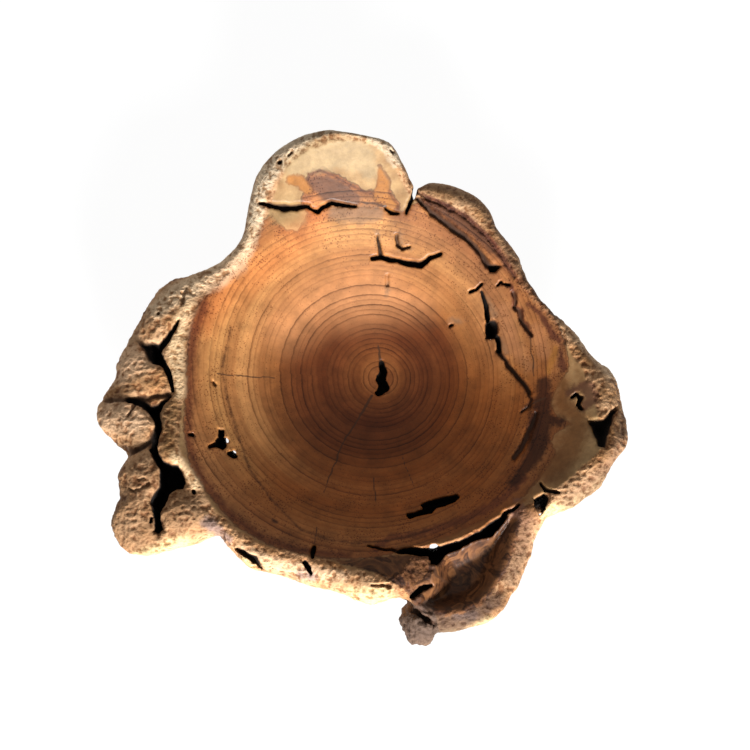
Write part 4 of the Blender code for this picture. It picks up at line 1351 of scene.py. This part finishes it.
    def sap(self, tree: bpy.types.NodeTree, place: bpy.types.NodeSocket) -> bpy.types.NodeSocket:
        """Draw the carved sapwood's soft clouds.

        Args:
            tree: the node tree.
            place: the place on the wood, in millimetres.

        Returns:
            The colour.
        """
        cloud = add_node(tree, "ShaderNodeTexNoise",
                         {"Vector": place, "Scale": 1 / self.sapwood.cloud_size, "Detail": 4.0}).outputs[0]
        share = add_node(tree, "ShaderNodeMapRange", self.sapwood.clouds.inputs(cloud)).outputs[0]
        return add_node(tree, "ShaderNodeMix",
                        {0: share, 6: linear(self.sapwood.pale), 7: linear(self.sapwood.deep)},
                        data_type="RGBA").outputs[2]

    def figure(self, tree: bpy.types.NodeTree, place: bpy.types.NodeSocket) -> bpy.types.NodeSocket:
        """Draw the swirls and eyes of the dark burl wood.

        Args:
            tree: the node tree.
            place: the place on the wood, in millimetres.

        Returns:
            The colour.
        """
        eyes = add_node(tree, "ShaderNodeTexNoise",
                        {"Vector": place, "Scale": 1 / self.figured.eye_spacing, "Detail": 5.0,
                         "Distortion": self.figured.swirl}).outputs[0]
        return add_node(tree, "ShaderNodeValToRGB", {"Fac": eyes}, stops=self.figured.swirls).outputs[0]

    def mottled(
        self, tree: bpy.types.NodeTree, place: bpy.types.NodeSocket, wood: bpy.types.NodeSocket
    ) -> bpy.types.NodeSocket:
        """Make the wood's colour a little lighter and darker from place to place.

        Args:
            tree: the node tree.
            place: the place on the wood, in millimetres.
            wood: the colour before.

        Returns:
            The colour after.
        """
        mottle = add_node(tree, "ShaderNodeTexNoise",
                          {"Vector": place, "Scale": 1 / self.mottle_size, "Detail": 6.0, "Roughness": 0.7})
        light = add_node(tree, "ShaderNodeMapRange", self.mottle.inputs(mottle.outputs[0])).outputs[0]
        return add_node(tree, "ShaderNodeMix", {0: 1.0, 6: wood, 7: light},
                        data_type="RGBA", blend_type="MULTIPLY").outputs[2]

    def depths(self) -> list[Coat]:
        """List the dark coats that lie over all the wood.

        Returns:
            The outer wall's dark foot, the knob, the cracks and the pockets with their painted shade, in
            order.
        """
        return [
            # the outer wall turns darker brown toward its foot, with a ragged edge
            Coat("wall_height", 76.0, 46.0, self.low_wall_colour, 0.85, self.low_wall_ragged),
            Coat("knob", 0.1, 0.8, self.knob_colour, 0.75),
            Coat("crack", 0.45, -0.1, self.pocket.mouth, 0.85),
            # painted shade: pockets darken from their mouth colour toward near black with depth below the
            # uncut surface, over their dark bark and rot
            Coat("pocket", 0.0, 0.5, self.pocket.mouth, 0.8),
            Coat("pocket", 0.4, 1.0, self.pocket.depth),
        ]

    def build(self) -> bpy.types.Material:
        """Make the finish's material.

        Returns:
            The material.
        """
        material = bpy.data.materials.new("oiled_burl")
        material.use_nodes = True
        tree = material.node_tree
        shader = tree.nodes["Principled BSDF"]
        metres = add_node(tree, "ShaderNodeTexCoord").outputs["Object"]
        place = add_node(tree, "ShaderNodeVectorMath", {0: metres, 1: (1 / MM, 1 / MM, 1 / MM)},
                         operation="MULTIPLY").outputs[0]
        uneven = add_node(tree, "ShaderNodeTexNoise",
                          {"Vector": place, "Scale": 1 / self.edge_noise_size, "Detail": 4.0}).outputs[0]
        carved = add_node(tree, "ShaderNodeAttribute", attribute_name="carved").outputs["Fac"]
        sunk = add_node(tree, "ShaderNodeAttribute", attribute_name="pocket").outputs["Fac"]

        heartwood, marks, heart_height = self.end_grain(tree, place)
        margin = Coat("heartwood", 13.0, 4.0, self.margin_colour, 0.5, self.border_ragged)
        heartwood = self.lay(tree, heartwood, uneven, [margin])
        brushed, shade, grown_height = self.grown(tree, place)
        ground = add_node(tree, "ShaderNodeMix", {0: carved, 6: brushed, 7: self.sap(tree, place)},
                          data_type="RGBA").outputs[2]
        wood = self.lay(tree, ground, uneven, self.woods(heartwood, marks, self.figure(tree, place)))
        wood = self.mottled(tree, place, wood)
        # painted shade: the grown wood darkens in the valleys between its ridges, by the ridges' height
        ridges = add_node(tree, "ShaderNodeMapRange", self.grown_valley_shade.inputs(carved)).outputs[0]
        wood = add_node(tree, "ShaderNodeMix", {0: ridges, 6: wood, 7: shade},
                        data_type="RGBA", blend_type="MULTIPLY").outputs[2]
        tree.links.new(self.lay(tree, wood, uneven, self.depths()), shader.inputs["Base Color"])

        sheen = Span(0.0, 1.0, self.edge.roughness, self.wood.roughness)
        smooth = add_node(tree, "ShaderNodeMapRange", sheen.inputs(carved)).outputs[0]
        rough = add_node(tree, "ShaderNodeMix", {0: sunk, 2: smooth, 3: self.pocket.roughness},
                         data_type="FLOAT").outputs[0]
        tree.links.new(rough, shader.inputs["Roughness"])
        shader.inputs["IOR"].default_value = self.refraction
        shader.inputs["Specular IOR Level"].default_value = self.specular

        height = add_node(tree, "ShaderNodeMix", {0: carved, 2: grown_height, 3: heart_height},
                          data_type="FLOAT").outputs[0]
        strength = add_node(tree, "ShaderNodeMapRange", self.relief.inputs(carved)).outputs[0]
        bump = add_node(tree, "ShaderNodeBump",
                        {"Strength": strength, "Distance": self.relief_depth * MM, "Height": height})
        tree.links.new(bump.outputs[0], shader.inputs["Normal"])
        return material


@dataclass(frozen=True)
class Studio:
    """A bright table, a soft key lamp low at the front, and the camera above."""

    aim: tuple[float, float, float] = (-6, -6, 60)
    camera_distance: float = 1700.0
    camera_height_angle: float = 76.0
    lens: float = 96.0
    table_side: float = 9.0
    key_azimuth: float = -80.0
    key_height_angle: float = 20.0
    key_distance: float = 2.4
    key_side: float = 0.6
    key_power: float = 165.0
    table_colour: str = "#5A5A5A"
    table_roughness: float = 0.9
    table_glow: float = 0.94
    sky: float = 0.31

    def toward(self, azimuth: float, height_angle: float, distance: float) -> Vector:
        """Find a place as seen from the aim.

        Args:
            azimuth: the direction in plan, in degrees from the right toward the far side.
            height_angle: the angle above the table, in degrees.
            distance: how far it is from the aim, in metres.

        Returns:
            The place, in metres.
        """
        azimuth, height_angle = np.radians(azimuth), np.radians(height_angle)
        level = np.cos(height_angle)
        offset = Vector((level * np.cos(azimuth), level * np.sin(azimuth), np.sin(height_angle)))
        return Vector(self.aim) * MM + offset * distance

    def table(self) -> bpy.types.Object:
        """Make the pale table, which glows a little so that it lights the underside.

        Returns:
            The table.
        """
        half = self.table_side / 2
        mesh = bpy.data.meshes.new("studio_table")
        corners = [(-half, -half, 0), (half, -half, 0), (half, half, 0), (-half, half, 0)]
        mesh.from_pydata(corners, [], [(0, 1, 2, 3)])
        table = bpy.data.objects.new("studio_table", mesh)
        bpy.context.collection.objects.link(table)
        paper = bpy.data.materials.new("pale_paper")
        paper.use_nodes = True
        shader = paper.node_tree.nodes["Principled BSDF"]
        shader.inputs["Base Color"].default_value = linear(self.table_colour)
        shader.inputs["Roughness"].default_value = self.table_roughness
        shader.inputs["Emission Color"].default_value = (1, 1, 1, 1)
        shader.inputs["Emission Strength"].default_value = self.table_glow
        mesh.materials.append(paper)
        return table

    def lamp(self) -> bpy.types.Object:
        """Make the soft key lamp.

        Returns:
            The lamp.
        """
        data = bpy.data.lights.new("key_lamp", "AREA")
        data.size = self.key_side
        data.energy = self.key_power
        lamp = bpy.data.objects.new("key_lamp", data)
        lamp.location = self.toward(self.key_azimuth, self.key_height_angle, self.key_distance)
        lamp.rotation_euler = (lamp.location - Vector(self.aim) * MM).to_track_quat("Z", "Y").to_euler()
        bpy.context.collection.objects.link(lamp)
        return lamp

    def camera(self) -> bpy.types.Object:
        """Make the camera and make it the scene's own.

        Returns:
            The camera.
        """
        data = bpy.data.cameras.new("camera")
        data.lens = self.lens
        camera = bpy.data.objects.new("camera", data)
        camera.location = self.toward(-90, self.camera_height_angle, self.camera_distance * MM)
        camera.rotation_euler = (camera.location - Vector(self.aim) * MM).to_track_quat("Z", "Y").to_euler()
        bpy.context.collection.objects.link(camera)
        bpy.context.scene.camera = camera
        return camera

    def build(self) -> bpy.types.Object:
        """Set up the table, the lamp, the camera and a dim even sky.

        Returns:
            The table.
        """
        world = bpy.data.worlds.new("studio")
        world.use_nodes = True
        world.node_tree.nodes["Background"].inputs["Color"].default_value = (1, 1, 1, 1)
        world.node_tree.nodes["Background"].inputs["Strength"].default_value = self.sky
        bpy.context.scene.world = world
        bpy.context.scene.view_settings.view_transform = "Standard"
        self.lamp()
        self.camera()
        return self.table()


def main() -> None:
    """Build the bowl and the studio, and say what was made."""
    logging.basicConfig(level=logging.INFO, format="%(name)s: %(message)s")
    bowl = BurlSkin(BurlForm()).build()
    bowl.data.materials.append(OiledBurl().build())
    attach(bowl, "root")
    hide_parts("burl")
    LOG.info("%s: %d points, %d faces", bowl.name, len(bowl.data.vertices), len(bowl.data.polygons))
    table = Studio().build()
    LOG.info("%s is the stage", table.name)


if __name__ == "__main__":
    main()
